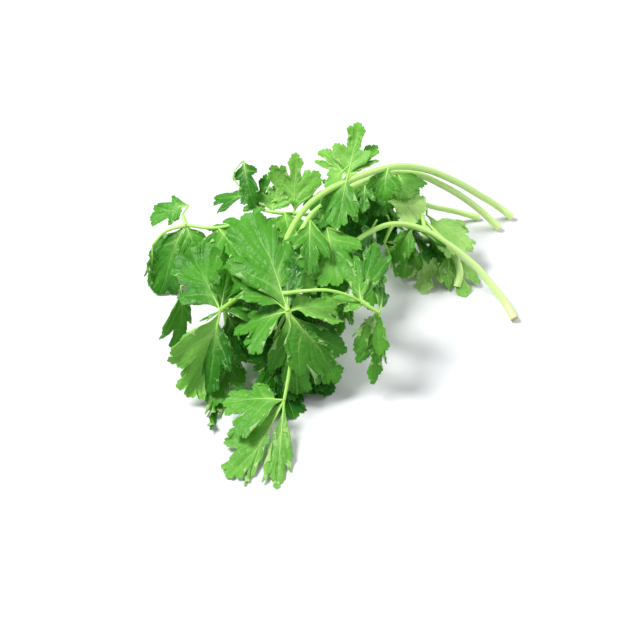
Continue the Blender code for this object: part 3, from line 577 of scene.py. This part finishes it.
def blade_surface(blade, character, place):
    """Points of the blade's middle surface at the given places of its flat shape. The height over it is the relief,
    the fold |sideways| tan and the twist. Then the whole bends along its length through `droop` degrees, and its
    sides fall by cup sideways^2. What would go under the ground is pressed up as an exponential."""
    along, up, side = blade_frame(np.array(blade.base, float), np.array(blade.tip, float), blade.bank)
    lobes, whole = lobes_of(blade.kind, character)
    length, bend = blade_length(blade)
    forward, sideways, turn, free = flat_place(lobes, whole, blade.wide, place)
    forward = (forward + place["notch"][0] * place["share"] ** NOTCH_POWER) * length
    sideways = (sideways + place["notch"][1] * place["share"] ** NOTCH_POWER) * length
    relief = blade_relief(character, place, length, turn, free)
    crease = np.sqrt(sideways**2 + (CREASE * length) ** 2) - CREASE * length
    fall = relief * length + np.tan(np.radians(character["fold"])) * crease - blade.cup * sideways**2 / length
    fall += sideways * np.sin(np.radians(character["twist"]) * place["reach"])
    slope = bend / 2 - bend * forward / length
    x = (length / bend) * (np.sin(bend / 2) - np.sin(slope)) - fall * np.sin(slope)
    z = (length / bend) * (np.cos(slope) - np.cos(bend / 2)) + fall * np.cos(slope)
    points = blade.base + x[..., None] * along + z[..., None] * up + sideways[..., None] * side
    above = points[..., 2] / FLOOR_GAP - 2
    pressed = FLOOR_GAP * (1 + np.exp(np.minimum(above, 0)))
    points[..., 2] = np.where(above < 0, pressed, points[..., 2])
    return points


def rim_columns(blade, character, tooth_depth):
    """The columns of a blade's grid, evenly spaced along its rim, as arrays: lobe, q, rim reach, root on the midrib,
    phase along the side veins (whole at the middle of each small lobe) and the notch taken out of the rim. Notches
    are cusps 1 - |cos|, one a small lobe and one a tooth, square to the rim and uneven in depth."""
    lobes, whole = lobes_of(blade.kind, character)
    length = blade_length(blade)[0]
    fan = np.abs(lobes[:, 0]) + lobes[:, 1]
    ribbed = midrib_share(whole)
    pitch = BUMP_PITCH * (SMALL_PITCH + (1 - SMALL_PITCH) * min(1, length / FULL_LENGTH))
    dense = np.linspace(-1, 1, RIM_SAMPLES)
    found = []
    for index in range(3):
        lobe = np.full(RIM_SAMPLES, index)
        rim = rim_reach(lobes, whole, lobe, dense)
        root = ribbed * (1 - np.abs(lobes[index, 0] + dense * lobes[index, 1]) / max(fan[0], fan[2]))
        place = {"lobe": lobe, "q": dense, "reach": rim, "share": np.ones(RIM_SAMPLES), "root": root}
        forward, sideways, _, _ = flat_place(lobes, whole, blade.wide, place)
        slopes = np.gradient(np.stack([forward, sideways]), axis=1)
        step = np.linalg.norm(slopes, axis=0)
        run = np.r_[0, np.cumsum((step[1:] + step[:-1]) / 2)] * length
        inward = np.stack([-slopes[1], slopes[0]]) / np.maximum(step, 1e-9)
        at = np.linspace(0, run[-1], max(LEAST_COLUMNS, round(run[-1] / STEP)) + 1)
        phase = (at - np.interp(0, dense, run)) / pitch
        slow, quick = UNEVEN_WAVES
        uneven = 1 + UNEVEN * np.sin(slow * phase + character["phase"] + index) * np.sin(quick * phase)
        bump = (1 - np.abs(np.cos(np.pi * phase))) ** BUMP_POWER * pitch * BUMP_DEPTH
        tooth = (1 - np.abs(np.cos(TOOTH_SHARE * np.pi * phase))) * tooth_depth / MM
        notch = (bump + tooth) * uneven / length * smooth(np.minimum(at, run[-1] - at) / RIM_END)
        inward = np.stack([np.interp(at, run, inward[0]), np.interp(at, run, inward[1])])
        found.append(
            {
                "lobe": np.full(len(at), index),
                "q": np.interp(at, run, dense),
                "rim": np.interp(at, run, rim),
                "root": np.interp(at, run, root),
                "phase": phase,
                "pitch": np.full(len(at), pitch),
                "notch": inward * notch,
            }
        )
    joint = [slice(None), slice(1, None), slice(1, None)]  # two lobes share the column of the cleft between them
    return {
        key: np.concatenate([lobe[key][..., part] for lobe, part in zip(found, joint)], axis=-1) for key in found[0]
    }


def grid_place(columns, rows, lobes, length, wide):
    """The columns carried over the rows, as the arrays that blade_surface reads."""
    shape = (len(rows), len(columns["q"]))
    place = {key: np.broadcast_to(columns[key], shape) for key in ("lobe", "q", "rim", "root", "phase", "pitch")}
    place["share"] = np.broadcast_to(rows[:, None], shape)
    place["reach"] = place["share"] * place["rim"]
    place["notch"] = columns["notch"][:, None, :]
    own = np.abs(place["q"]) * lobes[place["lobe"], 1] * place["reach"] * length * wide
    across = np.abs(place["reach"] * np.sin(lobes[place["lobe"], 0] + place["q"] * lobes[place["lobe"], 1])) * length
    place["gap"] = np.minimum(own, across * wide)
    return place


def blade_part(blade, character, leaf):
    """One leaflet as a closed lens: its middle surface moved half the thickness each way along its normal, the two
    sheets meeting at the rim and along the midrib. Its vein attribute is (phase of the side veins, millimetres a
    phase, millimetres to the nearest main vein), and its blade attribute is (tone, reach), where the tone holds
    painted light and shade as well as the leaflet's own green."""
    lobes, _ = lobes_of(blade.kind, character)
    columns = rim_columns(blade, character, leaf.tooth_depth)
    rows = 1 - (1 - np.arange(ROWS + 1) / ROWS) ** ROW_POWER
    place = grid_place(columns, rows, lobes, blade_length(blade)[0], blade.wide)
    middle = blade_surface(blade, character, place)
    normals = np.cross(np.gradient(middle, axis=1), np.gradient(middle, axis=0))
    normals /= np.maximum(np.linalg.norm(normals, axis=-1), 1e-9)[..., None]
    half = leaf.thickness / MM / 2
    top = middle + normals * half
    bottom = middle - normals * half
    # The rim row, the midrib row and the two side columns are shared by both sheets, on the middle surface.
    edge = np.zeros(middle.shape[:2], bool)
    edge[0] = edge[-1] = edge[:, 0] = edge[:, -1] = True
    top[edge] = middle[edge]
    top_index = np.arange(edge.size).reshape(edge.shape)
    bottom_index = top_index.copy()
    bottom_index[~edge] = edge.size + np.arange((~edge).sum())
    vertices = np.concatenate([top.reshape(-1, 3), bottom[~edge]])
    faces = [sheet_faces(top_index, True), sheet_faces(bottom_index, False)]
    under = np.repeat([0, 1], len(faces[0]))
    if character.get("flip"):
        under = 1 - under
    vein = np.stack([place["phase"], place["pitch"] * np.maximum(place["share"], LEAST_PITCH), place["gap"]], -1)
    # The tone stored here carries painted light and shade as well as the leaflet's own green.
    sheet = np.stack([np.full(edge.shape, character["tone"]), place["reach"]], -1)
    attributes = {
        "vein": np.concatenate([vein.reshape(-1, 3), vein[~edge]]),
        "blade": np.concatenate([sheet.reshape(-1, 2), sheet[~edge]]),
    }
    return {"vertices": vertices, "faces": faces, "material": under, "attributes": attributes}


def sheet_faces(index, flip):
    """Quads over a grid of vertex numbers."""
    quads = np.stack([index[:-1, :-1], index[1:, :-1], index[1:, 1:], index[:-1, 1:]], -1).reshape(-1, 4)
    return quads[:, ::-1] if flip else quads


def curve_through(points, step):
    """A smooth curve through the points, cubic between each two with the slopes of their neighbours."""
    points = np.array(points, float)
    gaps = np.linalg.norm(np.diff(points, axis=0), axis=1)
    at = np.r_[0, np.cumsum(gaps)]
    slopes = np.gradient(points, at, axis=0) if len(points) > 2 else np.repeat([points[1] - points[0]], 2, 0) / at[-1]
    where = np.linspace(0, at[-1], max(4, round(at[-1] / step) + 1))
    i = np.clip(np.searchsorted(at, where, side="right") - 1, 0, len(points) - 2)
    gap = gaps[i][:, None]
    x = (where - at[i])[:, None] / gap
    start = (2 * x**3 - 3 * x**2 + 1) * points[i] + (x**3 - 2 * x**2 + x) * gap * slopes[i]
    return start + (3 * x**2 - 2 * x**3) * points[i + 1] + (x**3 - x**2) * gap * slopes[i + 1]


def ring_axes(points):
    """Two unit vectors across the path at each point, turned as little as possible from one to the next."""
    tangents = np.gradient(points, axis=0)
    tangents /= np.linalg.norm(tangents, axis=1)[:, None]
    across = unit(np.cross(tangents[0], [0.3, 0.1, 1.0]))
    first = []
    for tangent in tangents:
        across = unit(across - (across @ tangent) * tangent)
        first.append(across)
    first = np.array(first)
    return first, np.cross(tangents, first)


def run_along(points):
    """Distance from the first point, at each point of a path."""
    return np.r_[0, np.cumsum(np.linalg.norm(np.diff(points, axis=0), axis=1))]


def tube_part(points, radii, sides, ribs, rib_depth, flat, ages, cut=False):
    """A tube: a ring of `sides` points carried along the path, whose radius is radii(along) times
    1 + rib_depth cos(ribs angle), pressed to `flat` of its height. Both ends are closed, and a cut end has a shallow
    dish in it. Its strand attribute is (rib or share of the cut face, age between `ages`)."""
    first, second = ring_axes(points)
    angles = np.arange(sides) * 2 * np.pi / sides
    radius = radii[:, None] * (1 + rib_depth * np.cos(ribs * angles))
    rings = (
        points[:, None]
        + (radius * np.cos(angles))[..., None] * first[:, None]
        + flat * (radius * np.sin(angles))[..., None] * second[:, None]
    )
    rings[..., 2] = np.maximum(rings[..., 2], GROUND)
    count = len(points)
    inward = unit(points[1] - points[0])
    cut_rings = CUT_RINGS if cut else ()
    caps = [points[0] + (rings[0] - points[0]) * share + inward * dip for share, dip in cut_rings]
    centre = points[:1] + inward * (CUT_DISH if cut else 0)
    vertices = np.concatenate([rings.reshape(-1, 3), *caps, centre, points[-1:]])
    grid = np.arange(count * sides).reshape(count, sides)
    grid = np.concatenate([grid, grid[:, :1]], 1)
    wall = np.stack([grid[:-1, :-1], grid[:-1, 1:], grid[1:, 1:], grid[1:, :-1]], -1).reshape(-1, 4)
    inner, dish = grid[0], []
    for k in range(len(caps)):
        ring = (count + k) * sides + np.r_[np.arange(sides), 0]
        dish.append(np.stack([ring[:-1], ring[1:], inner[1:], inner[:-1]], -1))
        inner = ring
    last = (count + len(caps)) * sides
    near_end = np.stack([np.full(sides, last), inner[1:], inner[:-1]], -1)
    far_end = np.stack([np.full(sides, last + 1), grid[-1, :-1], grid[-1, 1:]], -1)
    strand = np.stack([np.tile(np.cos(ribs * angles), count), np.repeat(np.linspace(*ages, count), sides)], -1)
    dish_strand = [(share, ages[0]) for share, _ in cut_rings for _ in range(sides)]
    ends = np.array([*dish_strand, (0, ages[0]), (0, ages[1])])
    sizes = (len(wall), len(caps) * sides, sides, sides)
    return {
        "vertices": vertices,
        "faces": [wall, *dish, near_end, far_end],
        "material": np.repeat([0, 1, int(cut), 0], sizes),
        "attributes": {"strand": np.concatenate([strand, ends])},
    }


def stem_part(sprig, stem):
    """The sprig's stem, ribbed, from its cut end to the top, where it is greener."""
    points = curve_through(sprig["stem"], STEM_STEP)
    radii = np.linspace(*sprig["radii"], len(points)) * SLIM
    return tube_part(points, radii, STEM_SIDES, stem.ribs, RIB_DEPTH, 1.0, (0, 1), cut=True)


def stalk_part(stalk, slim):
    """A stalk from the stem to its leaflets: its radius falls evenly, with a sheath exp(-along) at its start."""
    points = curve_through(stalk, STALK_STEP)
    run = run_along(points)
    radii = slim * (STALK_RADIUS + STALK_TAPER * (1 - run / run[-1])) + SHEATH_RADIUS * np.exp(-run / SHEATH_LENGTH)
    return tube_part(points, radii, STALK_SIDES, STALK_RIBS, STALK_RIB_DEPTH, STALK_FLAT, STALK_AGES)


def rib_part(node, blade, character):
    """A leaflet's own short stalk from the node, running on as its midrib in the middle of the blade and thinning
    out as (1 - share)^1.5. It is coloured as its blade: dark leaflets have dark ribs, so the painted light and shade
    in a leaflet's tone reach its rib too."""
    _, whole = lobes_of(blade.kind, character)
    ribbed = midrib_share(whole)
    along = np.linspace(0.0, MIDRIB_SHARE, MIDRIB_POINTS)
    share = np.maximum(along - ribbed, 0) / (1 - ribbed)
    none = np.zeros(MIDRIB_POINTS)
    middle_lobe = np.ones(MIDRIB_POINTS, int)
    place = {"lobe": middle_lobe, "q": none, "reach": share, "share": share, "phase": none, "gap": none}
    points = blade_surface(blade, character, {**place, "root": np.minimum(along, ribbed), "notch": (none, none)})
    start = np.array(node, float)
    lead = np.linalg.norm(start - points[0])
    if lead > LEAD_LEAST:
        steps = max(2, int(lead / LEAD_STEP) + 1)
        line = start + (points[0] - start) * np.linspace(0, 1, steps + 1)[:-1, None]
        points = np.concatenate([line, points])
    run = run_along(points)
    share = np.clip((run - lead) / (run[-1] - lead), 0, 1)
    radii = MIDRIB_RADIUS * (1 - share) ** MIDRIB_POWER + MIDRIB_END
    # The rib's colour follows the leaflet's tone, its painted light and shade included.
    ages = (STALK_AGES[1], MIDRIB_AGE - TONE_AGE * min(character["tone"], 1))
    return tube_part(points, radii, MIDRIB_SIDES, 0, 0.0, MIDRIB_FLAT, ages)


def joined(parts):
    """Vertices, flat face corners, face sizes, materials and attributes of several parts as one."""
    start = 0
    corners, sizes = [], []
    for part in parts:
        for faces in part["faces"]:
            corners.append((faces + start).ravel())
            sizes.append(np.full(len(faces), faces.shape[1]))
        start += len(part["vertices"])
    names = parts[0]["attributes"]
    return (
        np.concatenate([part["vertices"] for part in parts]),
        np.concatenate(corners),
        np.concatenate(sizes),
        np.concatenate([part["material"] for part in parts]),
        {name: np.concatenate([part["attributes"][name] for part in parts]) for name in names},
    )


def add_piece(name, parts, materials, node):
    """The parts as one mesh in the solids' frame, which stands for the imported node."""
    vertices, corners, sizes, material, attributes = joined(parts)
    mesh = bpy.data.meshes.new(name)
    mesh.vertices.add(len(vertices))
    mesh.vertices.foreach_set("co", ((vertices - CENTRE) * MM).astype(np.float32).ravel())
    mesh.loops.add(len(corners))
    mesh.loops.foreach_set("vertex_index", corners.astype(np.int32))
    mesh.polygons.add(len(sizes))
    mesh.polygons.foreach_set("loop_start", np.r_[0, np.cumsum(sizes)[:-1]].astype(np.int32))
    mesh.polygons.foreach_set("material_index", material.astype(np.int32))
    mesh.polygons.foreach_set("use_smooth", np.ones(len(sizes), bool))
    for key, values in attributes.items():
        vectors = np.zeros((len(values), 3), np.float32)
        vectors[:, : values.shape[1]] = values
        mesh.attributes.new(key, "FLOAT_VECTOR", "POINT").data.foreach_set("vector", vectors.ravel())
    mesh.update(calc_edges=True)
    mesh.validate()
    mesh.set_sharp_from_angle(angle=np.radians(SHARP_ANGLE))
    for made in materials:
        mesh.materials.append(made)
    piece = bpy.data.objects.new(name, mesh)
    bpy.context.scene.collection.objects.link(piece)
    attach(piece, "root")
    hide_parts(node)


# Materials


class Nodes:
    """Short calls to add and wire shader nodes in one tree."""

    def __init__(self, tree):
        self.tree = tree

    def add(self, kind, inputs=None, **settings):
        """A new node; each of its inputs is a value or another node's output."""
        node = self.tree.nodes.new(kind)
        for key, value in settings.items():
            setattr(node, key, value)
        for key, value in (inputs or {}).items():
            self.put(value, node.inputs[key])
        return node

    def put(self, value, socket):
        if isinstance(value, bpy.types.NodeSocket):
            self.tree.links.new(value, socket)
        else:
            socket.default_value = value

    def math(self, operation, a, b=0.0, clamp=False):
        return self.add("ShaderNodeMath", {0: a, 1: b}, operation=operation, use_clamp=clamp).outputs[0]

    def times(self, a, b):
        return self.math("MULTIPLY", a, b)

    def off_whole(self, value):
        """How far a value is from the nearest whole number."""
        return self.math("ABSOLUTE", self.math("SUBTRACT", value, self.math("ROUND", value)))

    def line(self, distance, width):
        """1 on a line and 0 past its width."""
        return self.math("SUBTRACT", 1.0, self.math("DIVIDE", distance, width), clamp=True)

    def mix(self, factor, a, b):
        return self.add("ShaderNodeMix", {0: factor, 6: a, 7: b}, data_type="RGBA").outputs[2]

    def span(self, value, low, high, to_low=0.0, to_high=1.0):
        """The value carried smoothly from low and high to two others, and held past them."""
        inputs = {0: value, 1: low, 2: high, 3: to_low, 4: to_high}
        return self.add("ShaderNodeMapRange", inputs, interpolation_type="SMOOTHSTEP").outputs[0]

    def attribute(self, name):
        """The three values of an attribute."""
        return self.add(
            "ShaderNodeSeparateXYZ", {0: self.add("ShaderNodeAttribute", attribute_name=name).outputs["Vector"]}
        ).outputs

    def group(self, name, **values):
        """A node group placed with its own values."""
        node = self.add("ShaderNodeGroup", node_tree=bpy.data.node_groups[name])
        for key, value in values.items():
            node.inputs[key].default_value = value
        return node.outputs


def new_group(name, inputs, outputs):
    """A node group whose inputs are numbers with these defaults and whose outputs are numbers."""
    group = bpy.data.node_groups.new(name, "ShaderNodeTree")
    for label, value in inputs.items():
        group.interface.new_socket(label, in_out="INPUT", socket_type="NodeSocketFloat").default_value = value
    for label in outputs:
        group.interface.new_socket(label, in_out="OUTPUT", socket_type="NodeSocketFloat")
    nodes = Nodes(group)
    return nodes, nodes.add("NodeGroupInput").outputs, nodes.add("NodeGroupOutput").inputs


def vein_group():
    """Veins of a leaflet: lines where the vein attribute is on a main vein or at a whole phase, with finer ones at
    thirds of a phase towards the rim and a net between them."""
    n, given, out = new_group(
        "leaf_veins", {"Main Width": 0.42, "Side Width": 0.2, "Net Scale": 900.0}, ("Main", "Side", "Net", "Height")
    )
    phase, pitch, gap = n.attribute("vein")
    reach = n.attribute("blade")[1]
    main = n.line(gap, n.times(given["Main Width"], n.math("SUBTRACT", MAIN_TAPER, reach)))
    side = n.line(n.times(n.off_whole(phase), pitch), given["Side Width"])
    fine = n.times(n.math("DIVIDE", n.times(n.off_whole(n.times(phase, FINE_VEINS)), pitch), FINE_VEINS), FINE_NARROW)
    fine = n.times(n.line(fine, given["Side Width"]), n.span(reach, *FINE_FADE, 0.0, FINE_STRENGTH))
    side = n.math("MAXIMUM", n.times(side, n.span(reach, *SIDE_FADE)), fine)
    where = n.add("ShaderNodeTexCoord").outputs["Object"]
    cells = n.add("ShaderNodeTexVoronoi", {"Vector": where, "Scale": given["Net Scale"]}, feature="DISTANCE_TO_EDGE")
    net = n.span(cells.outputs["Distance"], 0.0, NET_WIDTH, 1.0, 0.0)
    height = n.math("ADD", main, n.times(side, SIDE_HEIGHT))
    n.put(main, out["Main"])
    n.put(side, out["Side"])
    n.put(net, out["Net"])
    n.put(n.math("ADD", height, n.times(net, NET_HEIGHT)), out["Height"])


def mottle_group():
    """Soft patches, as a value from 0 to 1."""
    n, given, out = new_group("mottle", {"Scale": 60.0, "Detail": 3.0}, ("Value",))
    where = n.add("ShaderNodeTexCoord").outputs["Object"]
    noise = n.add("ShaderNodeTexNoise", {"Vector": where, "Scale": given["Scale"], "Detail": given["Detail"]})
    n.put(n.span(noise.outputs["Fac"], 0.3, 0.7), out["Value"])


def new_material(name):
    """A material, its nodes, its shader and its output."""
    material = bpy.data.materials.new(name)
    material.use_nodes = True
    tree = material.node_tree
    return material, Nodes(tree), tree.nodes["Principled BSDF"], tree.nodes["Material Output"]


def leaf_material(name, greens, vein_colour, rough, bump):
    """A leaf face: patchy green by leaflet, its tone partly painted light and shade, paler at its base and along its
    veins, part of the light let through.
    `greens` run from the darkest tone to the palest, and a negative `bump` sinks the veins."""
    material, n, shader, output = new_material(name)
    veins = n.group("leaf_veins")
    patches = n.group("mottle", Scale=70.0)["Value"]
    tone, reach, _ = n.attribute("blade")
    # The leaflet's tone carries painted light and shade: lit leaflets reach the pale greens, shaded ones the darkest.
    amount = n.math("ADD", n.times(tone, TONE_AMOUNT), n.times(patches, PATCH_AMOUNT))
    colour = (*greens[0], 1)
    for step, green in enumerate(greens[1:]):
        colour = n.mix(n.span(amount, TONE_STEP * step, TONE_STEP * (step + 1)), colour, (*green, 1))
    colour = n.mix(n.span(reach, 0.0, BASE_END, VEIN_BASE, 0.0), colour, (*vein_colour, 1))
    strength = n.math("ADD", n.times(veins["Main"], MAIN_VEIN), n.times(veins["Side"], SIDE_VEIN))
    strength = n.math("ADD", strength, n.times(veins["Net"], VEIN_NET), clamp=True)
    colour = n.mix(strength, colour, (*vein_colour, 1))
    crinkle = n.group("mottle", Scale=330.0, Detail=2.0)["Value"]
    bumped = n.add("ShaderNodeBump", {"Strength": 0.6, "Distance": bump, "Height": veins["Height"]}).outputs[0]
    crinkled = {"Strength": 0.6, "Distance": 0.0005, "Height": crinkle, "Normal": bumped}
    bumped = n.add("ShaderNodeBump", crinkled).outputs[0]
    n.put(colour, shader.inputs["Base Color"])
    n.put(bumped, shader.inputs["Normal"])
    shader.inputs["Roughness"].default_value = rough
    shader.inputs["Specular IOR Level"].default_value = 0.3
    through = n.add("ShaderNodeBsdfTranslucent", {"Color": n.mix(0.5, colour, THROUGH_GREEN), "Normal": bumped})
    both = n.add("ShaderNodeMixShader", {0: THROUGH, 1: shader.outputs[0], 2: through.outputs[0]})
    n.put(both.outputs[0], output.inputs["Surface"])
    return material


def stem_material(colours):
    """A stem: pale at the cut end and greener to the top, darker between its ribs, dark where its age passes 1."""
    material, n, shader, _ = new_material("coriander_stem")
    rib, age, _ = n.attribute("strand")
    patches = n.group("mottle", Scale=45.0)["Value"]
    colour = n.mix(n.span(age, 0.0, 1.0), (*colours.stem_low, 1), (*colours.stem_high, 1))
    colour = n.mix(n.times(patches, 0.15), colour, (*colours.stem_high, 1))
    colour = n.mix(n.span(rib, -1.0, 1.0, 0.2, 0.0), colour, FURROW_GREEN)
    colour = n.mix(n.span(age, 1.0, 1.6), colour, MIDRIB_GREEN)
    n.put(colour, shader.inputs["Base Color"])
    shader.inputs["Roughness"].default_value = 0.38
    shader.inputs["Subsurface Weight"].default_value = 0.25
    shader.inputs["Subsurface Radius"].default_value = (0.7, 1.0, 0.3)
    shader.inputs["Subsurface Scale"].default_value = 0.0015
    return material


def cut_material():
    """A cut end: pale pith with a browned rim."""
    material, n, shader, _ = new_material("coriander_cut_end")
    n.put(n.mix(n.span(n.attribute("strand")[0], 0.3, 0.9), PITH, BROWNED), shader.inputs["Base Color"])
    shader.inputs["Roughness"].default_value = 0.5
    return material


# Settings, operators and panel


class CorianderLeafSettings(bpy.types.PropertyGroup):
    """Sizes and greens of the leaflets"""

    thickness: FloatProperty(
        name="Blade Thickness", description="Thickness of a leaf blade", default=0.00035, min=0.0001, max=0.001,
        precision=5, subtype="DISTANCE", unit="LENGTH",
    )
    tooth_depth: FloatProperty(
        name="Tooth Depth", description="Depth of the teeth along a rim", default=0.0009, min=0.0, max=0.003,
        precision=5, subtype="DISTANCE", unit="LENGTH",
    )
    # The darkest green is also painted shade on leaflets deep in the bunch, and the palest painted light on lit
    # leaflets.
    upper_dark: FloatVectorProperty(
        name="Upper Dark", description="Darkest green of the upper faces", subtype="COLOR", size=3,
        default=(0.008, 0.15, 0.001),
    )
    upper_middle: FloatVectorProperty(
        name="Upper Middle", description="Usual green of the upper faces", subtype="COLOR", size=3,
        default=(0.09, 0.37, 0.025),
    )
    upper_light: FloatVectorProperty(
        name="Upper Light", description="Light green of the upper faces", subtype="COLOR", size=3,
        default=(0.25, 0.59, 0.095),
    )
    upper_pale: FloatVectorProperty(
        name="Upper Pale", description="Palest green of the upper faces", subtype="COLOR", size=3,
        default=(0.50, 0.78, 0.24),
    )
    under_dark: FloatVectorProperty(
        name="Under Dark", description="Darker green of the undersides", subtype="COLOR", size=3,
        default=(0.16, 0.44, 0.08),
    )
    under_light: FloatVectorProperty(
        name="Under Light", description="Lighter green of the undersides", subtype="COLOR", size=3,
        default=(0.36, 0.66, 0.20),
    )
    vein: FloatVectorProperty(
        name="Veins", description="Colour of the veins", subtype="COLOR", size=3,
        default=(0.60, 0.90, 0.30),
    )


class CorianderStemSettings(bpy.types.PropertyGroup):
    """Ribs and greens of the stems"""

    ribs: IntProperty(name="Ribs", description="Fine ridges around a stem", default=9, min=0, max=16)
    stem_low: FloatVectorProperty(
        name="Stem Low", description="Colour near the cut ends", subtype="COLOR", size=3,
        default=(0.71, 0.93, 0.38),
    )
    stem_high: FloatVectorProperty(
        name="Stem High", description="Colour among the leaves", subtype="COLOR", size=3,
        default=(0.38, 0.70, 0.12),
    )


class CorianderStageSettings(bpy.types.PropertyGroup):
    """Light on the stage"""

    key: FloatProperty(
        name="Key Light", description="Power of the large soft light", default=12.0, min=0.0, unit="POWER",
    )
    fill: FloatProperty(
        name="Fill Light", description="Power of the light that opens the shadows", default=3.2, min=0.0, unit="POWER",
    )
    sky: FloatProperty(name="Sky", description="Strength of the light from all around", default=0.38, min=0.0)


class CORIANDER_OT_leaves(bpy.types.Operator):
    """Builds the leaflets of every sprig, one piece a sprig"""

    bl_idname = "coriander.leaves"
    bl_label = "Leaves"
    bl_options = {"REGISTER", "UNDO"}

    def execute(self, context):
        leaf = context.scene.coriander_leaf
        vein_group()
        mottle_group()
        upper_greens = (leaf.upper_dark, leaf.upper_middle, leaf.upper_light, leaf.upper_pale)
        under_greens = (leaf.under_dark, leaf.under_light, leaf.upper_pale)
        upper = leaf_material("coriander_leaf_upper", upper_greens, leaf.vein, rough=0.38, bump=-0.00015)
        under = leaf_material("coriander_leaf_under", under_greens, leaf.vein, rough=0.55, bump=0.00025)
        for name in SPRIGS:
            blades = [blade for _, on_stalk in leaves_of(name) for blade in on_stalk]
            parts = [blade_part(blade, character_of(name, k), leaf) for k, blade in enumerate(blades)]
            add_piece(f"{name}_leaves", parts, (upper, under), f"sprig_{name}")
        return {"FINISHED"}


class CORIANDER_OT_stems(bpy.types.Operator):
    """Builds the stems, petioles and midribs of every sprig, one piece a sprig"""

    bl_idname = "coriander.stems"
    bl_label = "Stems"
    bl_options = {"REGISTER", "UNDO"}

    def execute(self, context):
        stem = context.scene.coriander_stem
        materials = (stem_material(stem), cut_material())
        for name, sprig in SPRIGS.items():
            parts = [stem_part(sprig, stem)]
            number = 0
            for leaf, (stalk, blades) in enumerate(leaves_of(name)):
                if len(stalk) > 1:
                    parts.append(stalk_part(stalk, THREADS.get((name, leaf), 1)))
                for blade in blades:
                    parts.append(rib_part(stalk[-1], blade, character_of(name, number)))
                    number += 1
            add_piece(f"{name}_stems", parts, materials, f"sprig_{name}")
        return {"FINISHED"}


def add_aimed(scene, thing, spot, target):
    """Puts a light or camera at a spot, turned to look at the target."""
    thing.location = spot
    thing.rotation_euler = (Vector(target) - thing.location).to_track_quat("-Z", "Y").to_euler()
    scene.collection.objects.link(thing)


class CORIANDER_OT_stage(bpy.types.Operator):
    """Builds the pale floor, the soft light and the camera"""

    bl_idname = "coriander.stage"
    bl_label = "Stage"
    bl_options = {"REGISTER", "UNDO"}

    def execute(self, context):
        scene = context.scene
        stage = scene.coriander_stage
        mesh = bpy.data.meshes.new("floor")
        corners = [(x * FLOOR_HALF, y * FLOOR_HALF, 0) for x, y in ((-1, -1), (1, -1), (1, 1), (-1, 1))]
        mesh.from_pydata(corners, [], [(0, 1, 2, 3)])
        material, _, shader, _ = new_material("white_ground")
        shader.inputs["Base Color"].default_value = FLOOR_WHITE
        shader.inputs["Roughness"].default_value = 0.7
        mesh.materials.append(material)
        floor = bpy.data.objects.new("floor", mesh)
        scene.collection.objects.link(floor)
        world = bpy.data.worlds.new("studio")
        world.use_nodes = True
        background = world.node_tree.nodes["Background"]
        background.inputs["Color"].default_value = SKY_WHITE
        background.inputs["Strength"].default_value = stage.sky
        scene.world = world
        for name, power, size, spot in (
            ("key", stage.key, KEY_SIZE, KEY_SPOT),
            ("fill", stage.fill, FILL_SIZE, FILL_SPOT),
        ):
            light = bpy.data.lights.new(name, "AREA")
            light.shape = "DISK"
            light.size = size
            light.energy = power
            add_aimed(scene, bpy.data.objects.new(name, light), spot, (0.0, 0.0, 0.0))
        optics = bpy.data.cameras.new("camera")
        optics.lens = CAMERA_LENS
        optics.clip_start = 0.01
        camera = bpy.data.objects.new("camera", optics)
        add_aimed(scene, camera, CAMERA_SPOT, CAMERA_TARGET)
        scene.camera = camera
        scene.view_settings.view_transform = "Standard"
        return {"FINISHED"}


class CORIANDER_PT_panel(bpy.types.Panel):
    """Lists the settings and the operators"""

    bl_idname = "CORIANDER_PT_panel"
    bl_label = "Coriander Bunch"
    bl_space_type = "VIEW_3D"
    bl_region_type = "UI"
    bl_category = "Coriander"

    def draw(self, context):
        for settings, operators in PANEL_ROWS:
            box = self.layout.box()
            group = getattr(context.scene, settings)
            for key in group.__annotations__:
                box.prop(group, key)
            for operator in operators:
                box.operator(operator)


PANEL_ROWS = (
    ("coriander_leaf", ("coriander.leaves",)),
    ("coriander_stem", ("coriander.stems",)),
    ("coriander_stage", ("coriander.stage",)),
)
CLASSES = (
    CorianderLeafSettings,
    CorianderStemSettings,
    CorianderStageSettings,
    CORIANDER_OT_leaves,
    CORIANDER_OT_stems,
    CORIANDER_OT_stage,
    CORIANDER_PT_panel,
)


def register():
    for made in CLASSES:
        bpy.utils.register_class(made)
    bpy.types.Scene.coriander_leaf = PointerProperty(type=CorianderLeafSettings)
    bpy.types.Scene.coriander_stem = PointerProperty(type=CorianderStemSettings)
    bpy.types.Scene.coriander_stage = PointerProperty(type=CorianderStageSettings)


def unregister():
    del bpy.types.Scene.coriander_leaf
    del bpy.types.Scene.coriander_stem
    del bpy.types.Scene.coriander_stage
    for made in reversed(CLASSES):
        bpy.utils.unregister_class(made)


def main():
    register()
    bpy.ops.coriander.leaves()
    bpy.ops.coriander.stems()
    bpy.ops.coriander.stage()
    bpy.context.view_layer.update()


if __name__ == "__main__":
    main()
